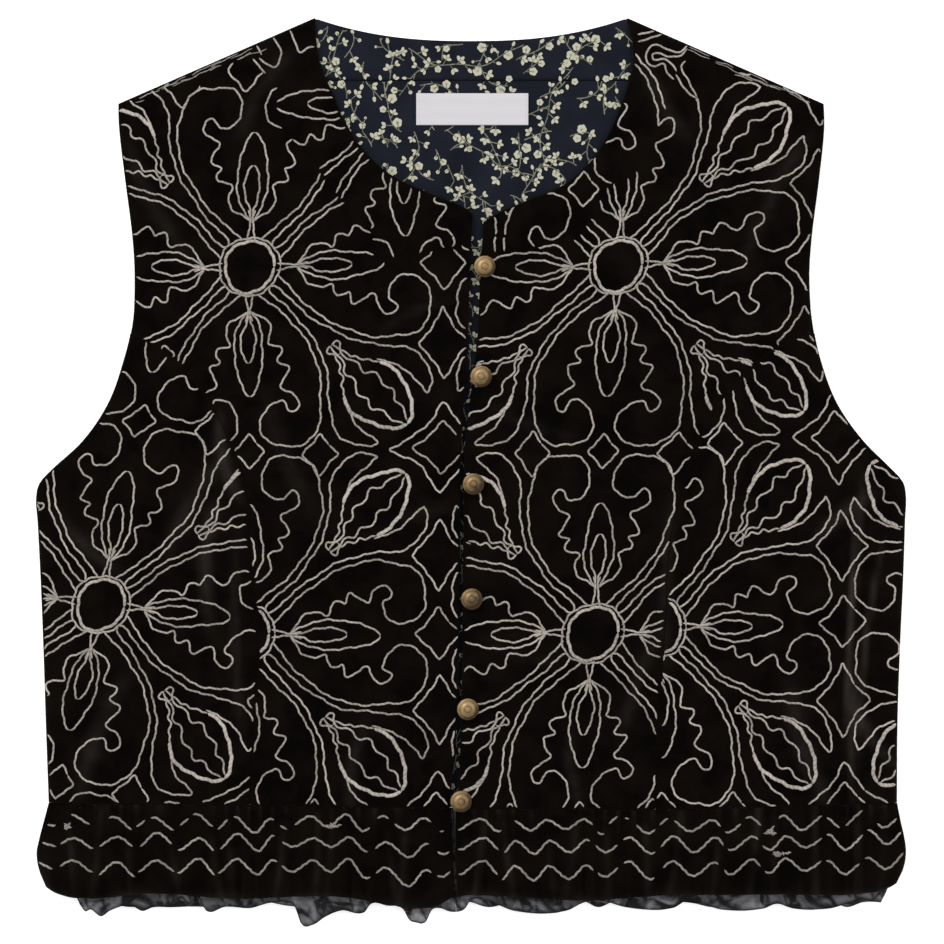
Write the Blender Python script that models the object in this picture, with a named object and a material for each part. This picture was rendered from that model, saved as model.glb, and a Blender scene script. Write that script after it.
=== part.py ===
"""Sleeveless cropped velvet vest with a gathered frill, laid flat on its back with the front up.

+X is the wearer's left, +Y runs from hem to neck and +Z is up, off the surface that it lies on.
Tables and sizes are in millimetres, and MM turns them into Blender's metres.
The back lies flat on the surface, the lining lies on it, and the fronts arch a little over both.
Every front piece is a height above the table of its own x and y, so that neighbours meet at the seams.
"""

import math

import bmesh
import bpy
import numpy as np

MM = 0.001


def table(names, *rows):
    """A short table of numbers as one array for each named column."""
    columns = np.array(rows, dtype=float).T
    return dict(zip(names.split(), columns))


# Walls and the layers from the table up
SEAM_GAP = 0.3
BACK_WALL = 1.5
LINING_WALL = 1.0
LABEL_WALL = 1.0
FRONT_WALL = 1.8
RUFFLE_WALL = 1.5
NET_WALL = 1.0
LINING_Z = BACK_WALL + SEAM_GAP
LABEL_Z = LINING_Z + LINING_WALL + SEAM_GAP
OPEN_EDGE_Z = LABEL_Z + 0.3
SEWN_EDGE_Z = LINING_Z

# How the fronts arch over the back
CROWN = 4.3
CROWN_REACH = 45.0
SEWN_REACH = 6.0
NECK_SETTLE = 0.72
NECK_SETTLE_REACH = 18.0
OPENING_SETTLE = 0.3
OPENING_SETTLE_REACH = 14.0
WAIST_BULK = 0.9
WAIST_BULK_REACH = 30.0
WAIST_CROWN_REACH = 18.0
BUST = 2.4
BUST_X = 116.0
BUST_Y = -18.0
BUST_SPREAD = 52.0

# Outline of the body, by height: the armholes run down to the underarm at y = -12, then the side seams
SHOULDER_TIP_X = 195.0
SHOULDER_TIP_Y = 203.0
NECK_POINT_X = 86.4
NECK_POINT_Y = 250.5
UNDERARM_Y = -12.0
SILHOUETTE = table(
    "y right left",
    (-187, -233.4, 235.5),
    (-143, -235.0, 235.8),
    (-100, -236.4, 237.2),
    (-60, -238.0, 239.0),
    (-29, -239.6, 240.0),
    (-14, -240.4, 240.4),
    (-7, -238.4, 238.6),
    (1, -231.0, 231.4),
    (15, -215.8, 217.6),
    (36, -201.2, 202.8),
    (61, -192.0, 193.3),
    (82, -187.2, 188.9),
    (107, -185.9, 187.0),
    (128, -187.0, 188.2),
    (160, -191.0, 192.2),
    (190, -194.5, 195.2),
    (203, -195.0, 195.0),
)

# Princess seams, from the waist seam up and out to the armholes
PRINCESS_TOP_Y = 76.0
PRINCESS = table(
    "y right left",
    (-187, -122.0, 101.5),
    (-137, -119.7, 103.2),
    (-104, -117.5, 105.5),
    (-77, -118.6, 107.6),
    (-44, -121.9, 109.0),
    (-9, -123.8, 116.6),
    (13, -131.9, 124.0),
    (36, -142.9, 135.5),
    (56, -158.0, 153.8),
    (67, -171.6, 167.4),
    (76, -186.2, 187.0),
)

# The two edges of the front opening, and the neck edge above them
OPENING = table(
    "y right left",
    (-187, -11.8, -7.4),
    (-126, -7.2, -5.2),
    (-49, -6.1, -4.4),
    (20, -5.0, -3.0),
    (50, -3.0, 0.8),
    (72, -1.7, 3.3),
    (110, -0.6, 5.2),
    (141, 1.0, 7.0),
)
NECK_RIGHT = table(
    "y x",
    (141, 1.0),
    (145.5, -3.0),
    (151.5, -18.0),
    (162.5, -42.5),
    (177, -59.0),
    (193.5, -69.8),
    (209, -76.6),
    (226, -83.6),
    (250.5, -86.4),
)
NECK_LEFT = table(
    "y x",
    (137.5, 7.0),
    (142.5, 15.0),
    (149, 30.0),
    (157, 49.5),
    (168, 63.4),
    (184, 75.0),
    (201, 82.4),
    (219, 88.4),
    (232, 89.6),
    (250.5, 86.4),
)

# The waist seam, where the frill joins the body, and the back's edges
WAIST = table(
    "x y",
    (-242, -183.0),
    (-122, -184.5),
    (-9.5, -186.0),
    (101.5, -187.0),
    (242, -183.0),
)
BACK_NECK_DROP = 12.6
BACK_NECK_POWER = 2.4
FACING_SEAM_Y = 216.0
LINING_SIDE_INSET = 8.0
LINING_ARMHOLE_INSET = 2.0
LINING_SHOULDER_INSET = 8.0

# Label
LABEL_LEFT_X = -30.3
LABEL_WIDTH = 62.0
LABEL_TOP_Y = 208.8
LABEL_HEIGHT = 17.6

# Rows and columns of the front panels' grids
ROWS_TO_PRINCESS_TOP = 16
ROWS_TO_NECK_CORNER = 2
ROWS_TO_SHOULDER = 9
CENTRE_COLUMNS = 9
SIDE_COLUMNS = 6
PRINCESS_ROW_OPENING_Y = 100.0
NECK_CORNER_ARMHOLE_Y = 108.0

# The frill's side edges, as the fraction of its drop and how far they flare past the waist
FLARE = table(
    "drop right left",
    (0.0, -233.4, 235.5),
    (0.25, -236.4, 237.6),
    (0.45, -238.6, 239.4),
    (0.65, -240.1, 240.4),
    (0.85, -238.6, 239.2),
    (1.0, -235.0, 235.4),
)
FRILL_OPENING = table(
    "drop right left",
    (0.0, -11.0, -8.6),
    (0.5, -9.8, -8.6),
    (1.0, -9.0, -7.6),
)
FRILL_HEM = table(
    "x y",
    (-240, -226.5),
    (-229, -233.0),
    (-213, -235.6),
    (-175, -232.8),
    (-130, -235.8),
    (-92, -234.6),
    (-70, -235.0),
    (-46, -239.0),
    (-30, -241.2),
    (-19, -239.8),
    (-9, -234.8),
    (6, -234.0),
    (30, -235.2),
    (62, -236.8),
    (104, -234.2),
    (170, -233.4),
    (215, -233.0),
    (231, -230.0),
    (240, -224.5),
)
NET_HEM = table(
    "x y",
    (-224, -236.0),
    (-211, -241.6),
    (-203, -245.4),
    (-196, -241.0),
    (-178, -240.8),
    (-161, -237.0),
    (-146, -241.6),
    (-118, -239.6),
    (-100, -239.0),
    (-95, -246.0),
    (-91, -250.4),
    (-86, -250.4),
    (-77, -245.0),
    (-62, -240.6),
    (-40, -241.5),
    (-35, -246.5),
    (-31, -248.6),
    (-26, -248.4),
    (-20, -242.8),
    (-8, -242.4),
    (4, -237.6),
    (24, -242.0),
    (48, -242.4),
    (66, -238.2),
    (92, -240.6),
    (107, -241.2),
    (122, -238.6),
    (137, -241.2),
    (159, -241.4),
    (168, -238.8),
    (198, -240.8),
    (216, -238.4),
    (226, -236.0),
)

# Gathers: how many waves lie across the front and the back, and how deep they are
GATHERS = 42
GATHERS_NET = 21
FRONT_WAVE_TOP = 0.5
FRONT_WAVE_HEM = 1.7
BACK_WAVE = 1.3
NET_WAVE = 0.35
COLUMNS_PER_WAVE = 6
BACK_COLUMNS_PER_WAVE = 5
NET_COLUMNS_PER_WAVE = 4
FRILL_ROWS = 3
BACK_FRILL_ROWS = 2
NET_ROWS = 2
BACK_NET_Z = 3.45
FRONT_NET_Z = 5.45
FRILL_HEM_Z = 9.6
FRILL_HALF_WIDTH = 240.5
FRILL_SIDE_REACH = 16.0
NET_SIDE_INSET = 18.0
BACK_FRILL_HEM_Y = -232.5
BACK_NET_HEM_Y = -239.5

# Buttons, on the wearer's left edge of the opening, from the neck down
BUTTON_RADIUS = 6.0
BUTTON_STEPS = 16
BUTTONS = table(
    "x y",
    (7.6, 112.7),
    (5.6, 52.1),
    (1.4, -7.2),
    (0.5, -70.6),
    (-1.7, -131.3),
    (-5.4, -182.0),
)
BUTTON_PROFILE = table(
    "radius height",
    (0.0, 0.0),
    (1.3, 0.0),
    (1.3, 1.0),
    (4.8, 1.2),
    (6.0, 1.9),
    (5.8, 2.9),
    (4.7, 4.1),
    (2.8, 4.9),
    (1.2, 5.2),
    (0.0, 5.5),
)


def through(at, stations, values):
    """A smooth curve through the stations: cubic Hermite, each slope the mean of its two chords."""
    order = np.argsort(stations)
    x = stations[order]
    y = values[order]
    chords = np.diff(y) / np.diff(x)
    slopes = np.concatenate([chords[:1], (chords[:-1] + chords[1:]) / 2, chords[-1:]])
    at = np.clip(np.asarray(at, dtype=float), x[0], x[-1])
    k = np.clip(np.searchsorted(x, at) - 1, 0, len(x) - 2)
    width = x[k + 1] - x[k]
    t = (at - x[k]) / width
    from_start = (1 + 2 * t) * (1 - t) ** 2 * y[k] + t * (1 - t) ** 2 * width * slopes[k]
    from_end = t * t * (3 - 2 * t) * y[k + 1] + t * t * (t - 1) * width * slopes[k + 1]
    return from_start + from_end


def silhouette(side, y):
    return through(y, SILHOUETTE["y"], SILHOUETTE[side])


def princess(side, y):
    return through(y, PRINCESS["y"], PRINCESS[side])


def neck(side, y):
    edge = NECK_RIGHT if side == "right" else NECK_LEFT
    return through(y, edge["y"], edge["x"])


def opening(side, y):
    return through(y, OPENING["y"], OPENING[side])


def front_edge(side, y):
    """The free edge of a centre front: the opening below the neck's corner, the neck edge above it."""
    corner = (NECK_RIGHT if side == "right" else NECK_LEFT)["y"][0]
    return np.where(y <= corner, opening(side, y), neck(side, y))


def waist(x):
    return np.interp(x, WAIST["x"], WAIST["y"])


def back_neck(x):
    dip = BACK_NECK_DROP * (1 - (np.abs(x) / NECK_POINT_X) ** BACK_NECK_POWER)
    return NECK_POINT_Y - dip


def eased(distance, reach):
    """0 at an edge, 1 from reach inward, rounding off like a quarter of a sine wave."""
    return np.sin(np.pi / 2 * np.clip(distance / reach, 0, 1))


def from_shoulder(x, y):
    """The distance from the straight shoulder line, square to it."""
    run = SHOULDER_TIP_X - NECK_POINT_X
    rise = NECK_POINT_Y - SHOULDER_TIP_Y
    below = SHOULDER_TIP_Y + (SHOULDER_TIP_X - np.abs(x)) * rise / run - y
    return below * run / math.hypot(run, rise)


def front_height(x, y):
    """The underside of the fronts above the table.

    They arch up from every sewn edge, swell over the bust, and settle towards the neck and the opening.
    """
    side_right = x - silhouette("right", y)
    side_left = silhouette("left", y) - x
    from_side = np.minimum(side_right, side_left)
    at_waist = np.exp(-(((y - waist(x)) / WAIST_BULK_REACH) ** 2))
    side_reach = CROWN_REACH + (WAIST_CROWN_REACH - CROWN_REACH) * at_waist
    shoulder = from_shoulder(x, y)
    free = np.where(x < 0, front_edge("right", y) - x, x - front_edge("left", y))
    by_neck = NECK_SETTLE * np.exp(-((free / NECK_SETTLE_REACH) ** 2)) * (y > OPENING["y"][-1] - 12)
    by_opening = OPENING_SETTLE * np.exp(-((free / OPENING_SETTLE_REACH) ** 2)) * (1 - at_waist)
    crown = CROWN + WAIST_BULK * at_waist
    arch = crown * eased(from_side, side_reach) * eased(shoulder, CROWN_REACH)
    arch = arch * (1 - np.maximum(by_neck, by_opening))
    swell = BUST * np.exp(-((np.abs(x) - BUST_X) ** 2 + (y - BUST_Y) ** 2) / BUST_SPREAD**2)
    drop = OPEN_EDGE_Z - SEWN_EDGE_Z
    at_side = np.clip(1 - from_side / SEWN_REACH, 0, 1) * np.clip((UNDERARM_Y - y) / 8 + 1, 0, 1)
    at_shoulder = np.clip(1 - shoulder / SEWN_REACH, 0, 1)
    sewn = drop * np.maximum(at_side, at_shoulder)
    return OPEN_EDGE_Z + arch + swell * eased(from_side, CROWN_REACH) - sewn


def material(name, colour, roughness, metallic=0.0, alpha=1.0):
    made = bpy.data.materials.new(name)
    made.use_nodes = True
    shader = made.node_tree.nodes["Principled BSDF"]
    shader.inputs["Base Color"].default_value = (*colour, 1.0)
    shader.inputs["Roughness"].default_value = roughness
    shader.inputs["Metallic"].default_value = metallic
    shader.inputs["Alpha"].default_value = alpha
    made.diffuse_color = (*colour, alpha)
    return made


def finish(name, shape, look):
    """Turn outward, store as a named object and shade its round faces smooth."""
    bmesh.ops.recalc_face_normals(shape, faces=shape.faces[:])
    mesh = bpy.data.meshes.new(name)
    shape.to_mesh(mesh)
    shape.free()
    mesh.materials.append(look)
    mesh.shade_smooth()
    mesh.set_sharp_from_angle(angle=math.radians(40))
    made = bpy.data.objects.new(name, mesh)
    bpy.context.scene.collection.objects.link(made)
    return made


def raise_wall(shape, wall):
    """Extrude an open sheet upward into a wall."""
    grown = bmesh.ops.extrude_face_region(shape, geom=shape.faces[:])
    top = [item for item in grown["geom"] if isinstance(item, bmesh.types.BMVert)]
    bmesh.ops.translate(shape, verts=top, vec=(0, 0, wall * MM))


def grid_cloth(name, under, wall, look):
    """A piece of cloth from its underside's grid of points, rows by columns, in millimetres."""
    rows, columns = under.shape[:2]
    shape = bmesh.new()
    points = [shape.verts.new(point) for point in under.reshape(-1, 3) * MM]
    for row in range(rows - 1):
        for column in range(columns - 1):
            first = row * columns + column
            above = first + columns
            shape.faces.new((points[first], points[first + 1], points[above + 1]))
            shape.faces.new((points[first], points[above + 1], points[above]))
    raise_wall(shape, wall)
    return finish(name, shape, look)


def flat_cloth(name, outline, z, wall, look):
    """A flat piece from its outline, a list of x and y in millimetres in order round it."""
    shape = bmesh.new()
    points = [shape.verts.new((x * MM, y * MM, z * MM)) for x, y in outline]
    shape.faces.new(points)
    raise_wall(shape, wall)
    return finish(name, shape, look)


def side_edge(side, low, high, inset_side, inset_armhole, step=9.0):
    """Points up one side of the back, from the waist past the underarm, moved in by the insets."""
    heights = np.linspace(low, high, int((high - low) / step) + 1)
    inset = np.where(heights < UNDERARM_Y + 1, inset_side, inset_armhole)
    inward = 1 if side == "right" else -1
    return [(silhouette(side, y) + inward * shift, y) for y, shift in zip(heights, inset)]


def build_back(velvet, lining, woven):
    """The back, its lining, the neck facing above the lining, and the bare label."""
    right = side_edge("right", waist(-233.0), SHOULDER_TIP_Y, 0.0, 0.0)
    left = side_edge("left", waist(235.0), SHOULDER_TIP_Y, 0.0, 0.0)
    across = np.linspace(-NECK_POINT_X, NECK_POINT_X, 19)
    neck_line = [(x, back_neck(x)) for x in across]
    waist_line = [(x, waist(x)) for x in (101.5, -9.5, -122.0)]
    flat_cloth("back_velvet", right + neck_line + left[::-1] + waist_line, 0.0, BACK_WALL, velvet)

    slope = (NECK_POINT_Y - SHOULDER_TIP_Y) / (SHOULDER_TIP_X - NECK_POINT_X)
    shoulder_drop = LINING_SHOULDER_INSET * math.hypot(1, slope)
    tip_y = SHOULDER_TIP_Y - shoulder_drop
    side_lining = LINING_SIDE_INSET, LINING_ARMHOLE_INSET
    right = side_edge("right", -181.5, tip_y, *side_lining)
    left = side_edge("left", -181.5, tip_y, *side_lining)
    tip_x = SHOULDER_TIP_X - LINING_ARMHOLE_INSET
    seam_low = FACING_SEAM_Y - SEAM_GAP / 2
    seam_high = FACING_SEAM_Y + SEAM_GAP / 2
    seam_x = tip_x - (seam_low - tip_y) / slope
    top = [(-seam_x, seam_low), (seam_x, seam_low)]
    flat_cloth("back_lining", right + top + left[::-1], LINING_Z, LINING_WALL, lining)

    inset = 1.0
    low_x = tip_x - (seam_high - tip_y) / slope
    neck_line = [(x, back_neck(x) - inset) for x in across[1:-1]]
    high_y = neck_line[0][1]
    high_x = tip_x - (high_y - tip_y) / slope
    corners = [(-low_x, seam_high), (-high_x, high_y)]
    mirrored = [(high_x, high_y), (low_x, seam_high)]
    outline = corners + neck_line[1:-1] + mirrored
    flat_cloth("back_neck_facing", outline, LINING_Z, LINING_WALL, lining)

    low = LABEL_TOP_Y - LABEL_HEIGHT
    right_x = LABEL_LEFT_X + LABEL_WIDTH
    corners = [(LABEL_LEFT_X, low), (right_x, low), (right_x, LABEL_TOP_Y), (LABEL_LEFT_X, LABEL_TOP_Y)]
    flat_cloth("neck_label", corners, LABEL_Z, LABEL_WALL, woven)


def stations(*stops):
    """Evenly spaced values between each pair of stops: first value, then (value, steps) pairs."""
    values = [stops[0]]
    for value, steps in stops[1:]:
        start = values[-1]
        values.extend(start + (value - start) * (k + 1) / steps for k in range(steps))
    return np.array(values)


def laid_on_back(x, y):
    """A grid of points at the fronts' height over their own x and y."""
    return np.stack([x, y, front_height(x, y)], axis=-1)


def build_centre_front(side, velvet):
    """Rows run from the princess seam or the armhole to the opening or the neck edge."""
    towards = 1 if side == "right" else -1
    neck_corner = (NECK_RIGHT if side == "right" else NECK_LEFT)["y"][0]
    seam_foot = princess(side, PRINCESS["y"][0])
    opening_foot = opening(side, OPENING["y"][0])
    outer_y = stations(
        waist(seam_foot),
        (PRINCESS_TOP_Y, ROWS_TO_PRINCESS_TOP),
        (NECK_CORNER_ARMHOLE_Y, ROWS_TO_NECK_CORNER),
        (SHOULDER_TIP_Y, ROWS_TO_SHOULDER),
    )
    inner_y = stations(
        waist(opening_foot),
        (PRINCESS_ROW_OPENING_Y, ROWS_TO_PRINCESS_TOP),
        (neck_corner, ROWS_TO_NECK_CORNER),
        (NECK_POINT_Y, ROWS_TO_SHOULDER),
    )
    on_seam = outer_y <= PRINCESS_TOP_Y + 0.01
    outer_x = np.where(on_seam, princess(side, outer_y) + towards * SEAM_GAP / 2, silhouette(side, outer_y))
    inner_x = front_edge(side, inner_y)
    across = np.linspace(0, 1, CENTRE_COLUMNS + 1)[None, :]
    x = outer_x[:, None] * (1 - across) + inner_x[:, None] * across
    y = outer_y[:, None] * (1 - across) + inner_y[:, None] * across
    grid_cloth(f"front_centre_{side}", laid_on_back(x, y), FRONT_WALL, velvet)


def build_side_front(side, velvet):
    """Level rows from the side seam and the lower armhole to the princess seam."""
    towards = 1 if side == "right" else -1
    seam_foot = princess(side, PRINCESS["y"][0])
    heights = stations(waist(seam_foot), (PRINCESS_TOP_Y, ROWS_TO_PRINCESS_TOP))
    seam_x = princess(side, heights) - towards * SEAM_GAP / 2
    outer_x = silhouette(side, heights)
    first = SEWN_REACH / abs(seam_x - outer_x).max()
    across = np.concatenate([[0.0], np.linspace(first, 1, SIDE_COLUMNS)])[None, :]
    x = outer_x[:, None] * (1 - across) + seam_x[:, None] * across
    y = np.repeat(heights[:, None], across.shape[1], axis=1)
    y[0] = waist(x[0])
    grid_cloth(f"front_side_{side}", laid_on_back(x, y), FRONT_WALL, velvet)


def gather_phase(x, gathers):
    """Waves counted along the frill, a little crowded in some places and slack in others."""
    t = (x + FRILL_HALF_WIDTH) / (2 * FRILL_HALF_WIDTH)
    uneven = 0.42 * np.sin(2 * np.pi * 3.1 * t + 0.8) + 0.26 * np.sin(2 * np.pi * 7.3 * t + 2.1)
    return 2 * np.pi * (gathers * t + uneven)


def frill_grid(outer, inner, hem, columns, rows):
    """x and y of a frill: outer and inner give its ends by drop, hem gives the lower edge by x."""
    drop = np.linspace(0, 1, rows + 1)[:, None]
    across = np.linspace(0, 1, columns + 1)[None, :]
    x = outer(drop) * (1 - across) + inner(drop) * across
    top = waist(x) - SEAM_GAP
    y = top + (hem(x) - top) * drop
    return x, y, np.repeat(drop, columns + 1, axis=1)


def build_front_frill(side, velvet):
    """Velvet frill hanging from the waist seam, gathered in waves that deepen to its hem."""
    def outer(drop):
        return through(drop, FLARE["drop"], FLARE[side])

    def inner(drop):
        return through(drop, FRILL_OPENING["drop"], FRILL_OPENING[side])

    def hem(x):
        return through(x, FRILL_HEM["x"], FRILL_HEM["y"])

    share = abs(FLARE[side][0] - FRILL_OPENING[side][0]) / (2 * FRILL_HALF_WIDTH)
    columns = round(GATHERS * COLUMNS_PER_WAVE * share)
    x, y, drop = frill_grid(outer, inner, hem, columns, FRILL_ROWS)
    from_side = np.abs(np.repeat(outer(drop[:, :1]), columns + 1, axis=1) - x)
    depth = FRONT_WAVE_TOP + (FRONT_WAVE_HEM - FRONT_WAVE_TOP) * drop**0.7
    waist_z = front_height(x, waist(x))
    middle = waist_z + (FRILL_HEM_Z - waist_z) * eased(drop, 1.0)
    wave = depth * np.cos(gather_phase(x, GATHERS))
    lift = eased(from_side, FRILL_SIDE_REACH)
    floor = BACK_WAVE + RUFFLE_WALL + SEAM_GAP
    z = floor + (middle + wave - floor) * lift
    grid_cloth(f"ruffle_front_{side}", np.stack([x, y, z], axis=-1), RUFFLE_WALL, velvet)


def build_back_frill(velvet):
    """Velvet frill under the vest: its waves are flat where they rest on the table."""
    def outer(drop):
        return through(drop, FLARE["drop"], FLARE["right"])

    def inner(drop):
        return through(drop, FLARE["drop"], FLARE["left"])

    def hem(x):
        return BACK_FRILL_HEM_Y + 1.6 * np.cos(gather_phase(x, 9)) + 5.0 * (np.abs(x) / 238) ** 12

    x, y, drop = frill_grid(outer, inner, hem, GATHERS * BACK_COLUMNS_PER_WAVE, BACK_FRILL_ROWS)
    z = np.maximum(0, BACK_WAVE * np.cos(gather_phase(x, GATHERS) + 1.0) * drop**0.5)
    z = z * eased(FRILL_HALF_WIDTH + 6 - np.abs(x), 18.0)
    grid_cloth("ruffle_back", np.stack([x, y, z], axis=-1), RUFFLE_WALL, velvet)


def build_net(name, z, ends, hem, net):
    """Fine net frill between the two velvet ones, showing below them; ends are its side edges by drop."""
    outer, inner = ends
    share = abs(float(outer(0.0) - inner(0.0))) / (2 * FRILL_HALF_WIDTH)
    columns = round(GATHERS_NET * NET_COLUMNS_PER_WAVE * share)
    x, y, drop = frill_grid(outer, inner, hem, columns, NET_ROWS)
    wave = NET_WAVE * np.cos(gather_phase(x, GATHERS_NET))
    grid_cloth(name, np.stack([x, y, z + wave], axis=-1), NET_WALL, net)


def build_nets(net):
    def right_side(drop):
        return through(drop, FLARE["drop"], FLARE["right"]) + NET_SIDE_INSET

    def left_side(drop):
        return through(drop, FLARE["drop"], FLARE["left"]) - NET_SIDE_INSET

    def right_opening(drop):
        return through(drop, FRILL_OPENING["drop"], FRILL_OPENING["right"])

    def left_opening(drop):
        return through(drop, FRILL_OPENING["drop"], FRILL_OPENING["left"])

    def front_hem(x):
        return through(x, NET_HEM["x"], NET_HEM["y"])

    def back_hem(x):
        return BACK_NET_HEM_Y + 1.5 * np.cos(gather_phase(x, 11))

    build_net("net_ruffle_back", BACK_NET_Z, (right_side, left_side), back_hem, net)
    build_net("net_ruffle_front_right", FRONT_NET_Z, (right_side, right_opening), front_hem, net)
    build_net("net_ruffle_front_left", FRONT_NET_Z, (left_side, left_opening), front_hem, net)


def button_mesh(brass):
    """A domed shank button, turned about its own axis from its profile."""
    shape = bmesh.new()
    radii = BUTTON_PROFILE["radius"]
    heights = BUTTON_PROFILE["height"]
    points = [shape.verts.new((r * MM, 0, h * MM)) for r, h in zip(radii, heights)]
    edges = [shape.edges.new(pair) for pair in zip(points[:-1], points[1:])]
    bmesh.ops.spin(
        shape,
        geom=points + edges,
        axis=(0, 0, 1),
        cent=(0, 0, 0),
        angle=2 * math.pi,
        steps=BUTTON_STEPS,
        use_merge=True,
    )
    bmesh.ops.remove_doubles(shape, verts=shape.verts[:], dist=0.00001)
    return shape


def build_buttons(brass):
    """Six buttons, each with its shank just clear of the velvet below it."""
    ring = np.linspace(0, 2 * np.pi, 12, endpoint=False)
    for number, (x, y) in enumerate(zip(BUTTONS["x"], BUTTONS["y"]), start=1):
        foot = BUTTON_PROFILE["radius"][1]
        under = front_height(x + foot * np.cos(ring), y + foot * np.sin(ring)).max()
        made = finish(f"button_{number}", button_mesh(brass), brass)
        made.location = (x * MM, y * MM, (under + FRONT_WALL + SEAM_GAP) * MM)


def main():
    for old in list(bpy.data.objects):
        bpy.data.objects.remove(old)
    velvet = material("black_velvet", (0.004, 0.003, 0.003), 0.9)
    lining = material("printed_cotton", (0.012, 0.014, 0.032), 0.85)
    woven = material("woven_label", (0.78, 0.76, 0.82), 0.7)
    net = material("black_net", (0.02, 0.02, 0.022), 0.8, alpha=0.6)
    brass = material("antique_brass", (0.36, 0.22, 0.08), 0.42, metallic=0.9)
    build_back(velvet, lining, woven)
    for side in ("right", "left"):
        build_centre_front(side, velvet)
        build_side_front(side, velvet)
        build_front_frill(side, velvet)
    build_back_frill(velvet)
    build_nets(net)
    build_buttons(brass)


main()
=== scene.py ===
"""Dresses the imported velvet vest: velvet shells, stitched thread, printed lining, net, label and buttons.

+X is the wearer's left, +Y runs from hem to neck and +Z is up, off the surface that the vest lies on.
Tables and sizes are in millimetres, and MM turns them into Blender's metres.
Every front piece is a height above the table of its own x and y, as in the part's own source.
"""

import math

import bpy
import numpy as np
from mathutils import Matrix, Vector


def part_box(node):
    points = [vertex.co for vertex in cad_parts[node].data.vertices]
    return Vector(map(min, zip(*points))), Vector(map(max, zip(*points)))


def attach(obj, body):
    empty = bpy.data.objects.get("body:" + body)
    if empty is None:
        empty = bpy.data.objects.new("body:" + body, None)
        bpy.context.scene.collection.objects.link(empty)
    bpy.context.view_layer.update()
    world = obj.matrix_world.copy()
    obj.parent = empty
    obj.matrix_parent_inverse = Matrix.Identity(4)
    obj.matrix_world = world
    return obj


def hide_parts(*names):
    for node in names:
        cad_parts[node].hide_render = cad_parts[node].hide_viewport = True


bl_info = {
    "name": "Velvet Vest",
    "version": (1, 0, 0),
    "blender": (4, 5, 0),
    "location": "3D View > Sidebar > Vest",
    "description": "Builds the looks of a stitched velvet vest over its packed frame",
    "category": "Object",
}

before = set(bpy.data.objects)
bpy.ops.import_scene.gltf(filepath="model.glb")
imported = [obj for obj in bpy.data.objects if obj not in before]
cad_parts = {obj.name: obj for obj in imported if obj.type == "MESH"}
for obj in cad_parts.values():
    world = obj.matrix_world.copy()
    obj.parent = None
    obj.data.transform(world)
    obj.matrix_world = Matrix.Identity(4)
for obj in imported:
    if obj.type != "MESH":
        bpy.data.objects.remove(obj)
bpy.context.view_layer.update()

MM = 0.001
SEED = 11

# The bands of a wave texture lie 2 pi / (20 x scale) metres apart
BANDS = 20.0


def table(names, *rows):
    """A short table of numbers as one array for each named column."""
    columns = np.array(rows, dtype=float).T
    return dict(zip(names.split(), columns))


# The floor, in metres
FLOOR_HALF = 4.0
FLOOR_Z = -0.0004

# Walls and layers from the table up, as in the part's source
SEAM_GAP = 0.3
BACK_WALL = 1.5
LINING_WALL = 1.0
FRONT_WALL = 1.8
RUFFLE_WALL = 1.5
LINING_Z = BACK_WALL + SEAM_GAP
LABEL_Z = LINING_Z + LINING_WALL + SEAM_GAP
OPEN_EDGE_Z = LABEL_Z + 0.3
SEWN_EDGE_Z = LINING_Z

# How the fronts arch over the back
CROWN = 4.3
CROWN_REACH = 45.0
SEWN_REACH = 6.0
NECK_SETTLE = 0.72
NECK_SETTLE_REACH = 18.0
NECK_SETTLE_DROP = 12.0
OPENING_SETTLE = 0.3
OPENING_SETTLE_REACH = 14.0
WAIST_BULK = 0.9
WAIST_BULK_REACH = 30.0
WAIST_CROWN_REACH = 18.0
BUST = 2.4
BUST_X = 116.0
BUST_Y = -18.0
BUST_SPREAD = 52.0

# Outline of the body by height
SHOULDER_TIP_X = 195.0
SHOULDER_TIP_Y = 203.0
NECK_POINT_X = 86.4
NECK_POINT_Y = 250.5
UNDERARM_Y = -12.0
SILHOUETTE = table(
    "y right left",
    (-187, -233.4, 235.5), (-143, -235.0, 235.8), (-100, -236.4, 237.2), (-60, -238.0, 239.0),
    (-29, -239.6, 240.0), (-14, -240.4, 240.4), (-7, -238.4, 238.6), (1, -231.0, 231.4), (15, -215.8, 217.6),
    (36, -201.2, 202.8), (61, -192.0, 193.3), (82, -187.2, 188.9), (107, -185.9, 187.0),
    (128, -187.0, 188.2), (160, -191.0, 192.2), (190, -194.5, 195.2), (203, -195.0, 195.0),
)

# The way from each front's outer edge to the opening
TOWARDS = {"right": 1, "left": -1}
BODY_HALF_WIDTH = 235.0
SHOULDER_SLOPE = (NECK_POINT_Y - SHOULDER_TIP_Y) / (SHOULDER_TIP_X - NECK_POINT_X)
ARMHOLE_EASE = 6.0
UNDERARM_EASE = 8.0

# Princess seams, from the waist seam up and out to the armholes
PRINCESS_TOP_Y = 76.0
PRINCESS = table(
    "y right left",
    (-187, -122.0, 101.5), (-137, -119.7, 103.2), (-104, -117.5, 105.5), (-77, -118.6, 107.6),
    (-44, -121.9, 109.0), (-9, -123.8, 116.6), (13, -131.9, 124.0), (36, -142.9, 135.5), (56, -158.0, 153.8),
    (67, -171.6, 167.4), (76, -186.2, 187.0),
)

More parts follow.
